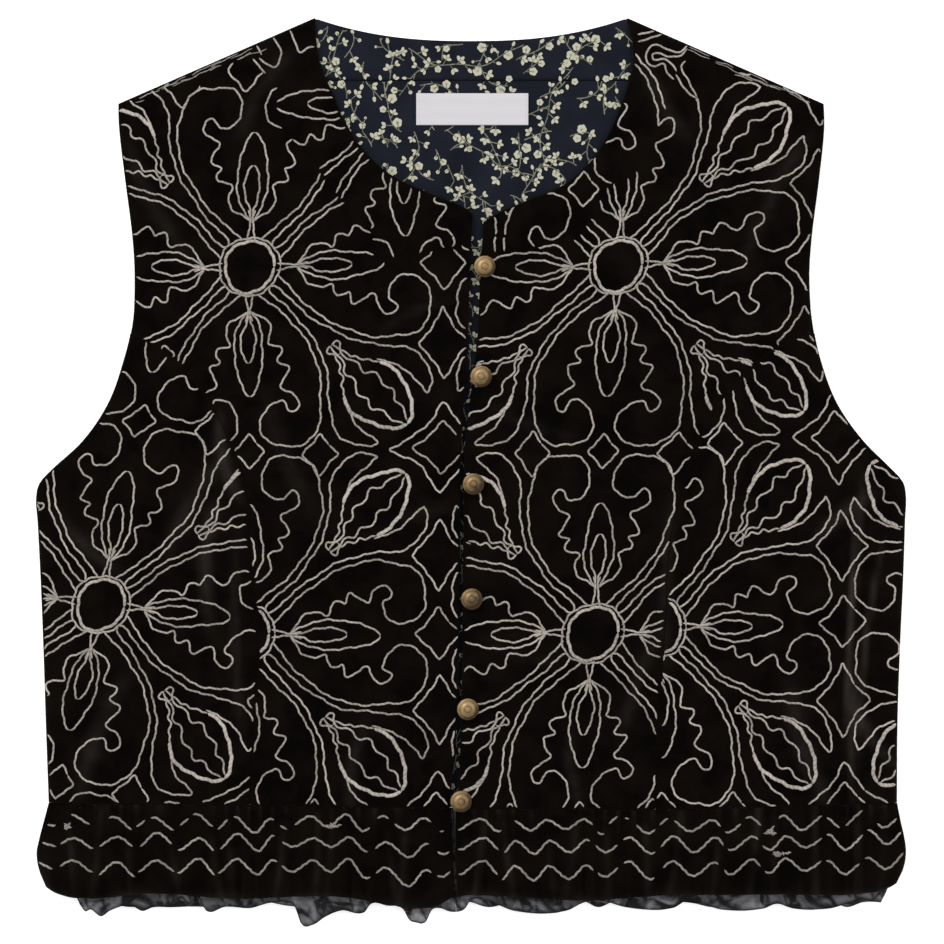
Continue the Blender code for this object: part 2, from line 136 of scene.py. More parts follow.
# The two edges of the front opening, and the neck edge above them
OPENING = table(
    "y right left",
    (-187, -11.8, -7.4), (-126, -7.2, -5.2), (-49, -6.1, -4.4), (20, -5.0, -3.0), (50, -3.0, 0.8),
    (72, -1.7, 3.3), (110, -0.6, 5.2), (141, 1.0, 7.0),
)
NECK_RIGHT = table(
    "y x",
    (141, 1.0), (145.5, -3.0), (151.5, -18.0), (162.5, -42.5), (177, -59.0), (193.5, -69.8), (209, -76.6),
    (226, -83.6), (250.5, -86.4),
)
NECK_LEFT = table(
    "y x",
    (137.5, 7.0), (142.5, 15.0), (149, 30.0), (157, 49.5), (168, 63.4), (184, 75.0), (201, 82.4),
    (219, 88.4), (232, 89.6), (250.5, 86.4),
)
NECKS = {"right": NECK_RIGHT, "left": NECK_LEFT}
WAIST = table("x y", (-242, -183.0), (-122, -184.5), (-9.5, -186.0), (101.5, -187.0), (242, -183.0))
BACK_NECK_DROP = 12.6
BACK_NECK_POWER = 2.4
FACING_SEAM_Y = 216.0
LINING_SIDE_INSET = 8.0
LINING_ARMHOLE_INSET = 2.0
LINING_SHOULDER_INSET = 8.0
LINING_TIP_X = SHOULDER_TIP_X - LINING_ARMHOLE_INSET
LINING_TIP_Y = SHOULDER_TIP_Y - LINING_SHOULDER_INSET * math.hypot(1, SHOULDER_SLOPE)
LINING_FOOT_Y = -181.5
PRINT_LIFT = 0.08
NECK_INSIDE_X = 85.6
FACING_EDGE = 0.4
LABEL_LEFT_X = -30.3
LABEL_WIDTH = 62.0
LABEL_TOP_Y = 208.8
LABEL_HEIGHT = 17.6
PRINCESS_ROW_OPENING_Y = 100.0
NECK_CORNER_ARMHOLE_Y = 108.0

# The frill's side edges by drop, its hem, and the net's hem
FLARE = table(
    "drop right left",
    (0.0, -233.4, 235.5), (0.25, -236.4, 237.6), (0.45, -238.6, 239.4), (0.65, -240.1, 240.4),
    (0.85, -238.6, 239.2), (1.0, -235.0, 235.4),
)
FRILL_OPENING = table("drop right left", (0.0, -11.0, -8.6), (0.5, -9.8, -8.6), (1.0, -9.0, -7.6))
FRILL_HEM = table(
    "x y",
    (-240, -226.5), (-229, -233.0), (-213, -235.6), (-175, -232.8), (-130, -235.8), (-92, -234.6),
    (-70, -235.0), (-46, -239.0), (-30, -241.2), (-19, -239.8), (-9, -234.8), (6, -234.0), (30, -235.2),
    (62, -236.8), (104, -234.2), (170, -233.4), (215, -233.0), (231, -230.0), (240, -224.5),
)
NET_HEM = table(
    "x y",
    (-224, -235.0), (-217, -238.0), (-213, -243.1), (-210.2, -242.1), (-204.2, -245.9), (-199.3, -242.7),
    (-188.3, -239.9), (-181.3, -242.9), (-176, -241.0), (-166.8, -239.9), (-159.7, -235.8), (-155.6, -239.3),
    (-150.6, -235.3), (-146.3, -242.7), (-135.7, -240.6), (-121.8, -241.3), (-111.1, -238.5),
    (-101.3, -238.2), (-97.5, -240.2), (-93.8, -250.0), (-87.1, -250.5), (-80.8, -246.3), (-71.6, -242.7),
    (-58.6, -243.4), (-55.5, -239.2), (-46.2, -240.0), (-37.4, -242.0), (-34.2, -247.7), (-30.7, -249.2),
    (-24.8, -248.7), (-21.9, -242.7), (-17.9, -241.3), (-10.9, -243.4), (-3.3, -241.6), (-0.2, -237.0),
    (10.5, -238.0), (24.4, -243.0), (52, -243.0), (63.1, -238.0), (71.4, -237.2), (85.2, -240.8),
    (111.5, -241.3), (119, -237.5), (139.2, -242.3), (161.3, -241.6), (169, -239.0), (178, -241.6),
    (197.3, -241.6), (216.7, -236.8), (222, -237.0), (228, -231.0),
)
# How much longer the gathered cloth was cut: the back's velvet frill, and the other frills
GATHERS = 42
GATHERS_NET = 21
FRONT_WAVE_TOP = 0.5
FRONT_WAVE_HEM = 1.7
BACK_WAVE = 1.3
NET_WAVE = 0.35
NET_CELL = 0.9
NET_WALL = 0.24
BACK_NET_Z = 3.45
FRONT_NET_Z = 5.45
FRILL_HEM_Z = 9.6
FRILL_HALF_WIDTH = 240.5
FRILL_SIDE_REACH = 16.0
FRILL_DEPTH = 49.0
FRILL_FRONT_WIDTH = 225.0
BACK_FRILL_DEPTH = 47.0
BACK_FRILL_WIDTH = 475.0
NET_DEPTH = 55.0
NET_SIDE_INSET = 19.0
NET_SIDE_INSET_LEFT = 9.0
BACK_FRILL_HEM_Y = -232.5
BACK_NET_HEM_Y = -239.5
BUTTONS = table(
    "x y tone",
    (7.6, 112.7, 1.0), (5.6, 52.1, 0.8), (1.4, -7.2, 0.4), (0.5, -70.6, 0.25), (-1.7, -131.3, 0.95),
    (-5.4, -182.0, 0.6),
)

# Grids, rolled edges and soft creases of the velvet
CELL = 3.1
BACK_ROWS = 110
BACK_COLUMNS = 120
EDGE_ROLL = 1.9
EDGE_SHARE = 0.6
CREASE_BOW = 3.0
CREASE_FADE = 14.0
# The last column is painted sheen: how much the colour beside each crease is lightened, as light on crushed
# pile.
CREASES = table(
    "x y angle length width depth glow",
    (212, -92, 88, 150, 3.4, -1.1, 0.75), (219, -104, 84, 110, 3.0, 0.7, 0.5),
    (222, -140, 120, 46, 6.0, 0.5, 0.5), (-132, 8, 104, 44, 6.0, -0.8, 0.55),
    (-141, -52, 88, 60, 7.0, 0.5, 0.5), (-126, -96, 92, 110, 5.0, -0.7, 0.2),
    (-150, -22, 60, 60, 8.0, -0.6, 0.25), (-96, 10, 112, 70, 9.0, -0.6, 0.15),
    (112, -60, 88, 90, 6.0, -0.6, 0.2), (96, -120, 72, 66, 7.0, 0.4, 0.15),
    (60, -166, 100, 40, 6.0, 0.5, 0.25), (-60, -165, 82, 46, 7.0, 0.5, 0.25),
    (-200, -150, 70, 70, 9.0, -0.5, 0.3), (190, -150, 108, 70, 9.0, -0.5, 0.3),
    (-170, 150, 118, 70, 8.0, -0.6, 0.2), (172, 150, 62, 70, 8.0, -0.6, 0.2),
    (-112, 205, 60, 50, 8.0, -0.5, 0.2), (112, 205, 120, 50, 8.0, -0.5, 0.2),
    (-30, 84, 22, 46, 5.0, -0.4, 0.1), (34, 30, 158, 50, 6.0, -0.4, 0.1),
    (-34, -30, 18, 50, 6.0, -0.35, 0.1), (30, -98, 162, 46, 6.0, -0.35, 0.1),
    (-206, -40, 140, 50, 7.0, -0.6, 0.25), (206, -30, 40, 46, 7.0, -0.6, 0.3),
)
PUCKER = 0.32
PUCKER_REACH = 9.0

# The stitched pattern: a rosette of four petals, four buds on its diagonals, and diamonds between rosettes.
# u runs out along a petal from the rosette's centre and v away from the petal's middle line.
PITCH_ACROSS = 213.0
PITCH_DOWN = 203.6
RING_OUTER = 16.3
RING_INNER = 13.8
TEETH = table(
    "u v",
    (25, 1), (28, 5), (31, 10.4), (36, 12.4), (41, 11.8), (44, 10.6), (46.8, 18.6), (50, 18.4), (53.2, 16.2),
    (55.8, 23), (60, 21.6), (66.6, 17.8), (71, 25.6), (75, 28), (79.6, 26.6), (80.6, 23.2), (77.8, 20.8),
)
SCROLL_U = 86.6
SCROLL_V = 18.4
SCROLL_RADIUS = 12.6
STEM = table("u v", (14.5, 2.2), (18.5, 1.5), (22, 0.9), (26, 0.5), (31, 2.0))
HEART = table(
    "u v",
    (98.6, 29), (92, 37.4), (80, 40.4), (67, 40.6), (54, 37.6), (42, 31.4), (30, 21.6), (21.5, 12),
    (15, 4.4),
)
OUTER_LINE = table(
    "u v corner",
    (11.7, 11.7, 0), (13.3, 11.0, 0), (15.8, 12.5, 0), (24.5, 21.8, 0), (36, 31.6, 0), (48.5, 39.4, 0),
    (60, 43.4, 0), (74, 45.4, 0), (86, 47.2, 0), (94, 51.5, 0), (98.6, 58.5, 0), (99.8, 66, 0),
    (98, 72.8, 1), (93.6, 67.6, 0), (87.5, 60.4, 0), (79, 56, 0), (70, 53, 0),
)
# A bud by distance along the diagonal and width to each side
BUD_NECK = table("d w", (69, 2.2), (74, 4), (79, 6.8), (84, 10.2), (88, 13))
BUD_SATIN = table("d w", (88, 13), (95, 15.6), (104, 15.2), (112, 12), (118, 8.2), (122, 4.4), (123.6, 0))
BUD_INNER = table("d w", (64, 0.8), (76, 2.2), (88, 5.4), (100, 6.6), (112, 4.8), (122, 1.2))
DIAMONDS = table(
    "p q half_p half_q hollow",
    (106.5, 101.8, 28, 26, 0.2), (106.5, 101.8, 16, 15, 0.1), (106.5, 0, 13.4, 15.4, 0.1),
    (106.5, 43, 15.5, 20.5, 0.17), (106.5, -43, 15.5, 20.5, 0.17), (0, 101.8, 8.8, 10.2, 0.08),
    (40, 100, 10.6, 12.4, 0.1), (-40, 100, 10.6, 12.4, 0.1),
)
# Where each front piece's cloth was cut from the repeat: a rosette's centre and the steps to its neighbours
LATTICES = {
    "centre_right": ((-121.4, 113.1), (213.0, 2.2), (-2.8, -203.6)),
    "centre_left": ((80.5, 113.6), (213.0, 3.3), (-13.8, -203.6)),
    "side_right": ((-204.7, -72.8), (211.2, -25.4), (-44.1, -199.2)),
    "side_left": ((103.2, -85.5), (203.0, 3.3), (4.7, -203.6)),
    "back": ((0.0, 96.0), (213.0, 0.0), (0.0, -203.6)),
    "neck_patch_left": ((68.2, 257.4), (213.0, 3.3), (-13.8, -203.6)),
    "neck_patch_right": ((-35.3, 201.9), (213.0, 2.2), (-2.8, -203.6)),
}
# Lines beyond which the pattern is pieced and shifted, on the neck's side of each front
PATCH_RIGHT = table(
    "y x",
    (115, -53.0), (137, -55.7), (152, -73.9), (169, -86.0), (194, -108.0), (251, -104.0),
)
PATCH_LEFT = table(
    "y x",
    (119, 6.0), (122, 30.0), (128, 58.0), (140, 66.0), (158, 76.0), (164, 91.0), (184, 93.0), (188, 102.0),
    (197, 107.0), (221, 112.0), (236, 119.0), (251, 126.0),
)
PATCHES = {"right": PATCH_RIGHT, "left": PATCH_LEFT}
# Loose lines beside both neck points, where the cloth was gathered before it was stitched
LOOSE_LINES = table(
    "line x y",
    (1, 92, 241), (1, 99, 242.5), (1, 108, 243.5), (2, 92, 237), (2, 99, 239), (2, 107, 242),
    (3, 119.5, 235), (3, 116, 231.6), (3, 110, 232), (3, 104, 235), (3, 99, 234.5), (3, 97, 230.5),
    (3, 97.5, 225), (3, 101, 223.6), (3, 106.5, 224.5), (3, 108.5, 219.5), (3, 112, 216), (4, 119.5, 233.4),
    (4, 116, 229.6), (4, 110, 228.6), (4, 104.5, 230.4), (4, 100, 230), (4, 100.5, 227.4), (4, 106, 227.4),
    (4, 111, 224.6), (4, 113.5, 220.5), (5, 118.5, 226.5), (5, 116, 223.5), (5, 119, 217), (5, 124.8, 206),
    (6, 113, 219), (6, 116.5, 213), (6, 120, 208.4), (6, 124.6, 205.6), (7, -100, 243.5), (7, -97.6, 238),
    (7, -94.6, 231.4), (7, -89, 234), (7, -85.4, 234.4), (8, -109.4, 239.5), (8, -106, 234.4),
    (8, -104.8, 229.4), (8, -108.6, 222.8), (8, -113.6, 225.2), (8, -117, 228), (9, -118.4, 235),
    (9, -116.4, 231.6), (9, -115.6, 229.6), (10, -131.4, 225.4), (10, -134, 220.8), (10, -129, 215),
    (10, -124, 209.4), (10, -120.4, 213), (10, -118, 217), (10, -114.6, 220), (11, -120.4, 227.6),
    (11, -117, 223.4), (11, -113.4, 219.4),
)
# The right patch starts higher towards the opening
PATCH_RISE = {"right": 0.2, "left": 0.0}
# A repeat reaches this far from its rosette, and stitches keep clear of the edges
REPEAT_REACH = 155.0
STITCH_CLEAR = 0.75
BACK_STITCH_CLEAR = 3.0
THREAD_STEP = 0.95
BACK_THREAD_STEP = 1.7
THREAD_SINK = 0.25
CORNER_REACH = 1.9
LINK = 2.6
# Width, height and tone of each kind of stitching; the frill's rows are painted darker, as shade from lying
# deeper in the pile
STYLES = {
    "chain": (1.1, 0.5, 0.0),
    "ring": (1.7, 0.6, 0.16),
    "satin": (2.0, 0.6, 0.22),
    "row": (1.25, 0.45, -0.36),
    "back": (1.3, 0.34, 0.0),
    "scrap": (0.55, 0.3, -0.3),
    "label": (0.45, 0.22, 0.0),
}
# The frill's rows by drop; tangles are small knots of loose thread on it
WAVY_ROWS = table("drop breaks amplitude", (0.17, 1, 0.95), (0.41, 2, 1.0), (0.68, 2, 1.05))
FOLD_STEP = 19.0
TANGLES = table("x y", (-221.9, -195.9), (-76.4, -195.9), (165.5, -199.8), (169.9, -211.0))


def joined(*columns):
    """Arrays of one shape as the columns of an array of points."""
    return np.stack(columns, axis=-1)


def through(at, stations, values):
    """A smooth curve through the stations: cubic Hermite, each slope the mean of its two chords."""
    order = np.argsort(stations)
    x = stations[order]
    y = values[order]
    chords = np.diff(y) / np.diff(x)
    slopes = np.concatenate([chords[:1], (chords[:-1] + chords[1:]) / 2, chords[-1:]])
    at = np.clip(np.asarray(at, dtype=float), x[0], x[-1])
    k = np.clip(np.searchsorted(x, at) - 1, 0, len(x) - 2)
    width = x[k + 1] - x[k]
    t = (at - x[k]) / width
    from_start = (1 + 2 * t) * (1 - t) ** 2 * y[k] + t * (1 - t) ** 2 * width * slopes[k]
    from_end = t * t * (3 - 2 * t) * y[k + 1] + t * t * (t - 1) * width * slopes[k + 1]
    return from_start + from_end


def curve(stations, column, at):
    """The smooth curve through a table's first column and the one that is named."""
    return through(at, next(iter(stations.values())), stations[column])


def silhouette(side, y):
    return curve(SILHOUETTE, side, y)


def princess(side, y):
    return curve(PRINCESS, side, y)


def front_edge(side, y):
    """The free edge of a centre front: the opening below the neck's corner, the neck edge above it."""
    neck = NECKS[side]
    return np.where(y <= neck["y"][0], curve(OPENING, side, y), curve(neck, "x", y))


def outer_edge(side, y):
    """The outer edge of a centre front: the princess seam, then the armhole, eased into each other."""
    seam = princess(side, y) + TOWARDS[side] * SEAM_GAP / 2
    step = princess(side, PRINCESS_TOP_Y) - silhouette(side, PRINCESS_TOP_Y)
    armhole = silhouette(side, y) + step * np.exp(-np.maximum(y - PRINCESS_TOP_Y, 0) / ARMHOLE_EASE)
    return np.where(y <= PRINCESS_TOP_Y, seam, armhole)


def waist(x):
    return np.interp(x, WAIST["x"], WAIST["y"])


def back_neck(x):
    """The back neck's curve: lowest in the middle, level at the neck points."""
    dip = BACK_NECK_DROP * (1 - np.clip(np.abs(x) / NECK_POINT_X, 0, 1) ** BACK_NECK_POWER)
    return NECK_POINT_Y - dip


def eased(distance, reach):
    """0 at an edge, 1 from reach inward, rounding off like a quarter of a sine wave."""
    return np.sin(np.pi / 2 * np.clip(distance / reach, 0, 1))


def bell(distance, reach):
    """1 at no distance, falling away on both sides like a bell."""
    return np.exp(-((distance / reach) ** 2))


def from_shoulder(x, y):
    """The distance from the straight shoulder line, square to it."""
    run = SHOULDER_TIP_X - NECK_POINT_X
    rise = NECK_POINT_Y - SHOULDER_TIP_Y
    below = SHOULDER_TIP_Y + (SHOULDER_TIP_X - np.abs(x)) * rise / run - y
    return below * run / math.hypot(run, rise)


def front_height(x, y):
    """The underside of the fronts: arched from each sewn edge, full at the bust, settling at the neck."""
    from_side = np.minimum(x - silhouette("right", y), silhouette("left", y) - x)
    shoulder = from_shoulder(x, y)
    at_waist = bell(y - waist(x), WAIST_BULK_REACH)
    side_reach = CROWN_REACH + (WAIST_CROWN_REACH - CROWN_REACH) * at_waist
    free = np.where(x < 0, front_edge("right", y) - x, x - front_edge("left", y))
    by_neck = NECK_SETTLE * bell(free, NECK_SETTLE_REACH) * (y > OPENING["y"][-1] - NECK_SETTLE_DROP)
    by_opening = OPENING_SETTLE * bell(free, OPENING_SETTLE_REACH) * (1 - at_waist)
    crown = CROWN + WAIST_BULK * at_waist
    arch = crown * eased(from_side, side_reach) * eased(shoulder, CROWN_REACH)
    arch = arch * (1 - np.maximum(by_neck, by_opening))
    swell = BUST * np.exp(-((np.abs(x) - BUST_X) ** 2 + (y - BUST_Y) ** 2) / BUST_SPREAD**2)
    at_side = np.clip(1 - from_side / SEWN_REACH, 0, 1) * np.clip((UNDERARM_Y - y) / UNDERARM_EASE + 1, 0, 1)
    at_shoulder = np.clip(1 - shoulder / SEWN_REACH, 0, 1)
    sewn = (OPEN_EDGE_Z - SEWN_EDGE_Z) * np.maximum(at_side, at_shoulder)
    return OPEN_EDGE_Z + arch + swell * eased(from_side, CROWN_REACH) - sewn


def gather_phase(x, gathers):
    """Waves counted along the frill, a little crowded in some places and slack in others."""
    t = (x + FRILL_HALF_WIDTH) / (2 * FRILL_HALF_WIDTH)
    uneven = 0.42 * np.sin(2 * np.pi * 3.1 * t + 0.8) + 0.26 * np.sin(2 * np.pi * 7.3 * t + 2.1)
    return 2 * np.pi * (gathers * t + uneven)


def crease_fields(x, y):
    """Height and painted sheen of soft troughs and ridges: each is a bell across its line and fades at its
    ends.
    """
    total, painted_sheen_sum = np.zeros_like(x), np.zeros_like(x)
    for at_x, at_y, angle, length, width, depth, glow in zip(*CREASES.values()):
        along_x, along_y = math.cos(math.radians(angle)), math.sin(math.radians(angle))
        along = ((x - at_x) * along_x + (y - at_y) * along_y) / (length / 2)
        across = -(x - at_x) * along_y + (y - at_y) * along_x
        across = across + CREASE_BOW * along * along
        ends = np.exp(-(along**4))
        total += depth * bell(across, width) * ends
        # painted sheen: the colour beside each ridge is lightened
        painted_sheen_sum += glow * bell(across - 0.8 * width, 0.5 * width) * ends
    pucker = np.cos(gather_phase(x, GATHERS)) * np.exp(-np.maximum(y - waist(x), 0) / PUCKER_REACH)
    broad = 0.22 * np.sin(x / 19 + 1.3 * np.sin(y / 31)) * np.sin(y / 23 + 1.1 * np.sin(x / 37))
    return total + PUCKER * pucker + broad, painted_sheen_sum


def velvet_under(x, y, distance):
    """The underside of the fronts, with creases that fade out at the edges."""
    return front_height(x, y) + crease_fields(x, y)[0] * eased(distance, CREASE_FADE)


def velvet_top(x, y, distance):
    """The face of the fronts: the wall is thinner near turned edges and seams, so that they look rolled."""
    rolled = EDGE_SHARE + (1 - EDGE_SHARE) * eased(distance, EDGE_ROLL)
    return velvet_under(x, y, distance) + FRONT_WALL * rolled


def hex_colour(code):
    """An sRGB hex value as linear red, green and blue."""
    values = [int(code[k : k + 2], 16) / 255 for k in (1, 3, 5)]
    return tuple(v / 12.92 if v <= 0.04045 else ((v + 0.055) / 1.055) ** 2.4 for v in values)


def shade(colour, amount=1.0):
    """A linear colour made lighter or darker, with full alpha."""
    return tuple(min(1.0, value * amount) for value in colour) + (1.0,)


def add_node(tree, kind, output, settings=None, links=None, stops=()):
    """Adds a node and gives back one of its outputs.

    Settings are attributes or input sockets, links are the outputs that feed input sockets, and stops are
    the places and colours of a ramp.
    """
    node = tree.nodes.new(kind)
    for name, value in (settings or {}).items():
        if isinstance(name, str) and hasattr(node, name):
            setattr(node, name, value)
        else:
            node.inputs[name].default_value = value
    for name, source in (links or {}).items():
        tree.links.new(source, node.inputs[name])
    for number, (place, colour) in enumerate(stops):
        node.color_ramp.elements[number].position = place
        node.color_ramp.elements[number].color = colour
    return node.outputs[output]


def new_look(name, sockets):
    """A material and its tree; the shader's sockets that are the same all over are set."""
    look = bpy.data.materials.new(name)
    look.use_nodes = True
    for socket, value in sockets.items():
        look.node_tree.nodes["Principled BSDF"].inputs[socket].default_value = value
    return look, look.node_tree


def finished(look, links):
    """Links what varies over the surface to the material's shader."""
    tree = look.node_tree
    for socket, source in links.items():
        tree.links.new(source, tree.nodes["Principled BSDF"].inputs[socket])
    return look


def velvet_look(colours):
    """Cotton velvet with a cut pile: it swallows light, its sheen lights the slopes, and painted sheen
    lightens its folds and creases in patches.
    """
    sockets = {"Roughness": 0.95, "Specular IOR Level": 0.02, "Sheen Weight": colours.velvet_sheen}
    sheen = {"Sheen Roughness": 0.42, "Sheen Tint": shade(hex_colour("#a68c72"))}
    look, tree = new_look("cotton_velvet_cut_pile", {**sockets, **sheen})
    place = {"Vector": add_node(tree, "ShaderNodeTexCoord", "Object")}
    # crushed patches of pile about 16 mm across
    patches = {"Scale": 1 / 0.016, "Detail": 4.0, "Distortion": 0.4}
    crush = add_node(tree, "ShaderNodeTexNoise", "Fac", patches, place)
    # tufts of about 0.4 mm are drawn 0.9 mm wide to show at this size
    pile = add_node(tree, "ShaderNodeTexNoise", "Fac", {"Scale": 1 / 0.0009, "Detail": 2.0}, place)
    # painted sheen: the colour is lightened along folds and creases, in the crushed patches, as light that
    # crushed pile gives back there
    glow = add_node(tree, "ShaderNodeAttribute", "Fac", {"attribute_name": "glow"})
    lit = add_node(tree, "ShaderNodeMath", 0, {"operation": "MULTIPLY"}, {0: crush, 1: glow})
    stops = (0.35, shade(colours.velvet_colour, 0.6)), (0.75, shade(hex_colour("#0d0907")))
    dark = add_node(tree, "ShaderNodeValToRGB", "Color", {}, {0: crush}, stops)
    # the lighter colour of the painted sheen
    painted_sheen_settings = {"data_type": "RGBA", 7: shade(hex_colour("#423d39"))}
    mixed = add_node(tree, "ShaderNodeMix", 2, painted_sheen_settings, {0: lit, 6: dark})
    hollows = {"Strength": 0.25, "Distance": 0.001}
    soft = add_node(tree, "ShaderNodeBump", "Normal", hollows, {"Height": crush})
    tufts = {"Strength": 0.5, "Distance": 0.0004}
    rough = add_node(tree, "ShaderNodeBump", "Normal", tufts, {"Height": pile, "Normal": soft})
    return finished(look, {"Base Color": mixed, "Normal": rough})


def thread_look(colours):
    """Viscose thread, twisted and chain stitched: pale links, with painted shade in the hollows between
    them.
    """
    colour = colours.thread_colour
    sockets = {"Roughness": 0.62, "Specular IOR Level": 0.25, "Sheen Weight": 0.1, "Sheen Roughness": 0.5}
    look, tree = new_look("viscose_thread_chain_stitched", sockets)
    twist = add_node(tree, "ShaderNodeAttribute", "Vector", {"attribute_name": "twist"})
    run = add_node(tree, "ShaderNodeSeparateXYZ", "X", {}, {0: twist})
    beside_middle, tone = run.node.outputs["Y"], run.node.outputs["Z"]
    by_link = {"operation": "MULTIPLY_ADD", 1: 2 * math.pi / LINK}
    turns = add_node(tree, "ShaderNodeMath", 0, by_link, {0: run, 2: beside_middle})
    link = add_node(tree, "ShaderNodeMath", 0, {"operation": "SINE"}, {0: turns})
    # painted shade: the links' sine darkens the hollows between links; tone adds the thread's own uneven
    # colour and the rows' painted shade
    toned = add_node(tree, "ShaderNodeMath", 0, {"operation": "MULTIPLY_ADD", 1: 0.2}, {0: link, 2: tone})
    stops = (0.0, shade(colour, 0.5)), (1.0, shade(colour, 1.3))
    shaded = add_node(tree, "ShaderNodeValToRGB", "Color", {}, {0: toned}, stops)
    hollows = {"Strength": 0.22, "Distance": 0.0003}
    bump = add_node(tree, "ShaderNodeBump", "Normal", hollows, {"Height": link})
    return finished(look, {"Base Color": shaded, "Normal": bump})


def lining_look(colours):
    """Cotton lawn, plain woven and dyed navy: matt, with a faint weave and a slightly uneven dye."""
    colour = colours.lining_colour
    look, tree = new_look("cotton_lawn_plain_woven", {"Roughness": 0.9, "Specular IOR Level": 0.03})
    place = {"Vector": add_node(tree, "ShaderNodeTexCoord", "Object")}
    dye = add_node(tree, "ShaderNodeTexNoise", "Fac", {"Scale": 1 / 0.02, "Detail": 5.0}, place)
    stops = (0.3, shade(colour, 0.8)), (0.7, shade(colour, 1.25))
    dyed = add_node(tree, "ShaderNodeValToRGB", "Color", {}, {0: dye}, stops)
    # threads of about 0.3 mm are drawn as faint ribs 2 pi x 0.7 mm apart; warp times weft is their height
    threads = {"wave_type": "BANDS", "Scale": 1 / (0.0007 * BANDS), "Distortion": 0.3}
    warp = add_node(tree, "ShaderNodeTexWave", "Fac", {**threads, "bands_direction": "X"}, place)
    weft = add_node(tree, "ShaderNodeTexWave", "Fac", {**threads, "bands_direction": "Y"}, place)
    weave = add_node(tree, "ShaderNodeMath", 0, {"operation": "MULTIPLY"}, {0: warp, 1: weft})
    ribs = {"Strength": 0.35, "Distance": 0.0002}
    bump = add_node(tree, "ShaderNodeBump", "Normal", ribs, {"Height": weave})
    return finished(look, {"Base Color": dyed, "Normal": bump})


def print_look(colours):
    """Pigment print on the lining: greyed cream, yellow-green where the screen left less of it."""
    look, tree = new_look("pigment_print_screened", {"Roughness": 0.8, "Specular IOR Level": 0.1})
    place = {"Vector": add_node(tree, "ShaderNodeTexCoord", "Object")}
    # patches of wear about 2 mm across
    wear = add_node(tree, "ShaderNodeTexNoise", "Fac", {"Scale": 1 / 0.0022, "Detail": 3.0}, place)
    ink = add_node(tree, "ShaderNodeAttribute", "Fac", {"attribute_name": "ink"})
    laid = add_node(tree, "ShaderNodeMath", 0, {"operation": "MULTIPLY_ADD", 1: 0.7}, {0: wear, 2: ink})
    stops = (0.45, shade(hex_colour("#55584a"))), (1.0, shade(colours.print_colour, 1.1))
    printed = add_node(tree, "ShaderNodeValToRGB", "Color", {}, {0: laid}, stops)
    return finished(look, {"Base Color": printed})


def label_look(colours):
    """Satin-woven polyester label, left bare: off-white, with fine ribs along its length."""
    colour = colours.label_colour
    look, tree = new_look("polyester_label_satin_woven", {"Roughness": 0.5, "Specular IOR Level": 0.3})
    place = {"Vector": add_node(tree, "ShaderNodeTexCoord", "Object")}
    # ribs of about 0.3 mm are drawn 2 pi x 1.2 mm apart to show
    ribbed = {"wave_type": "BANDS", "bands_direction": "Y", "Scale": 1 / (0.0012 * BANDS), "Distortion": 0.6}
    ribs = add_node(tree, "ShaderNodeTexWave", "Fac", ribbed, place)
    stops = (0.0, shade(colour, 0.985)), (1.0, shade(colour, 1.01))
    satin = add_node(tree, "ShaderNodeValToRGB", "Color", {}, {0: ribs}, stops)
    relief = {"Strength": 0.3, "Distance": 0.0002}
    bump = add_node(tree, "ShaderNodeBump", "Normal", relief, {"Height": ribs})
    return finished(look, {"Base Color": satin, "Normal": bump})


def net_look(colours):
    """Nylon net, knitted in hexagons: a grey veil, denser at its rolled hem and in its folds, where painted
    shade darkens it; its crumples carry painted highlights and painted shade.
    """
    colour = colours.net_colour
    look, tree = new_look("nylon_net_knitted", {"Roughness": 0.7, "Specular IOR Level": 0.08})
    place = {"Vector": add_node(tree, "ShaderNodeTexCoord", "Object")}
    # holes of about 0.8 mm are drawn 1.2 mm wide to show
    holes = {"feature": "DISTANCE_TO_EDGE", "Scale": 1 / 0.0012}
    cells = add_node(tree, "ShaderNodeTexVoronoi", "Distance", holes, place)
    thinner = {"From Min": 0.04, "From Max": 0.22, "To Min": 1.0, "To Max": 0.9}
    knit = add_node(tree, "ShaderNodeMapRange", 0, thinner, {0: cells})
    # crumpled patches about 12 mm across, where the layers of net lie apart or together, and where painted
    # highlights and painted shade lie
    patches = {"Scale": 1 / 0.012, "Detail": 3.0, "Distortion": 1.3}
    crumple = add_node(tree, "ShaderNodeTexNoise", "Fac", patches, place)
    sheerer = {"From Min": 0.38, "From Max": 0.72, "To Min": 1.08, "To Max": 0.7}
    veil = add_node(tree, "ShaderNodeMapRange", 0, sheerer, {0: crumple})
    fold = add_node(tree, "ShaderNodeAttribute", "Fac", {"attribute_name": "fold"})
    open_net = add_node(tree, "ShaderNodeMath", 0, {"operation": "MULTIPLY"}, {0: knit, 1: veil})
    alpha = add_node(tree, "ShaderNodeMath", 0, {"operation": "MAXIMUM"}, {0: open_net, 1: fold})
    # painted highlights and painted shade: the crumples' colour runs from darker than the thread to ten
    # times lighter
    stops = (0.4, shade(colour, 0.4)), (0.74, shade(colour, 10.0))
    painted_crumple_light = add_node(tree, "ShaderNodeValToRGB", "Color", {}, {0: crumple}, stops)
    # painted shade in the folds and on the rolled hem
    painted_fold_shade = {"data_type": "RGBA", 7: shade(colour, 0.3)}
    folded = add_node(tree, "ShaderNodeMix", 2, painted_fold_shade, {0: fold, 6: painted_crumple_light})
    return finished(look, {"Base Color": folded, "Alpha": alpha})


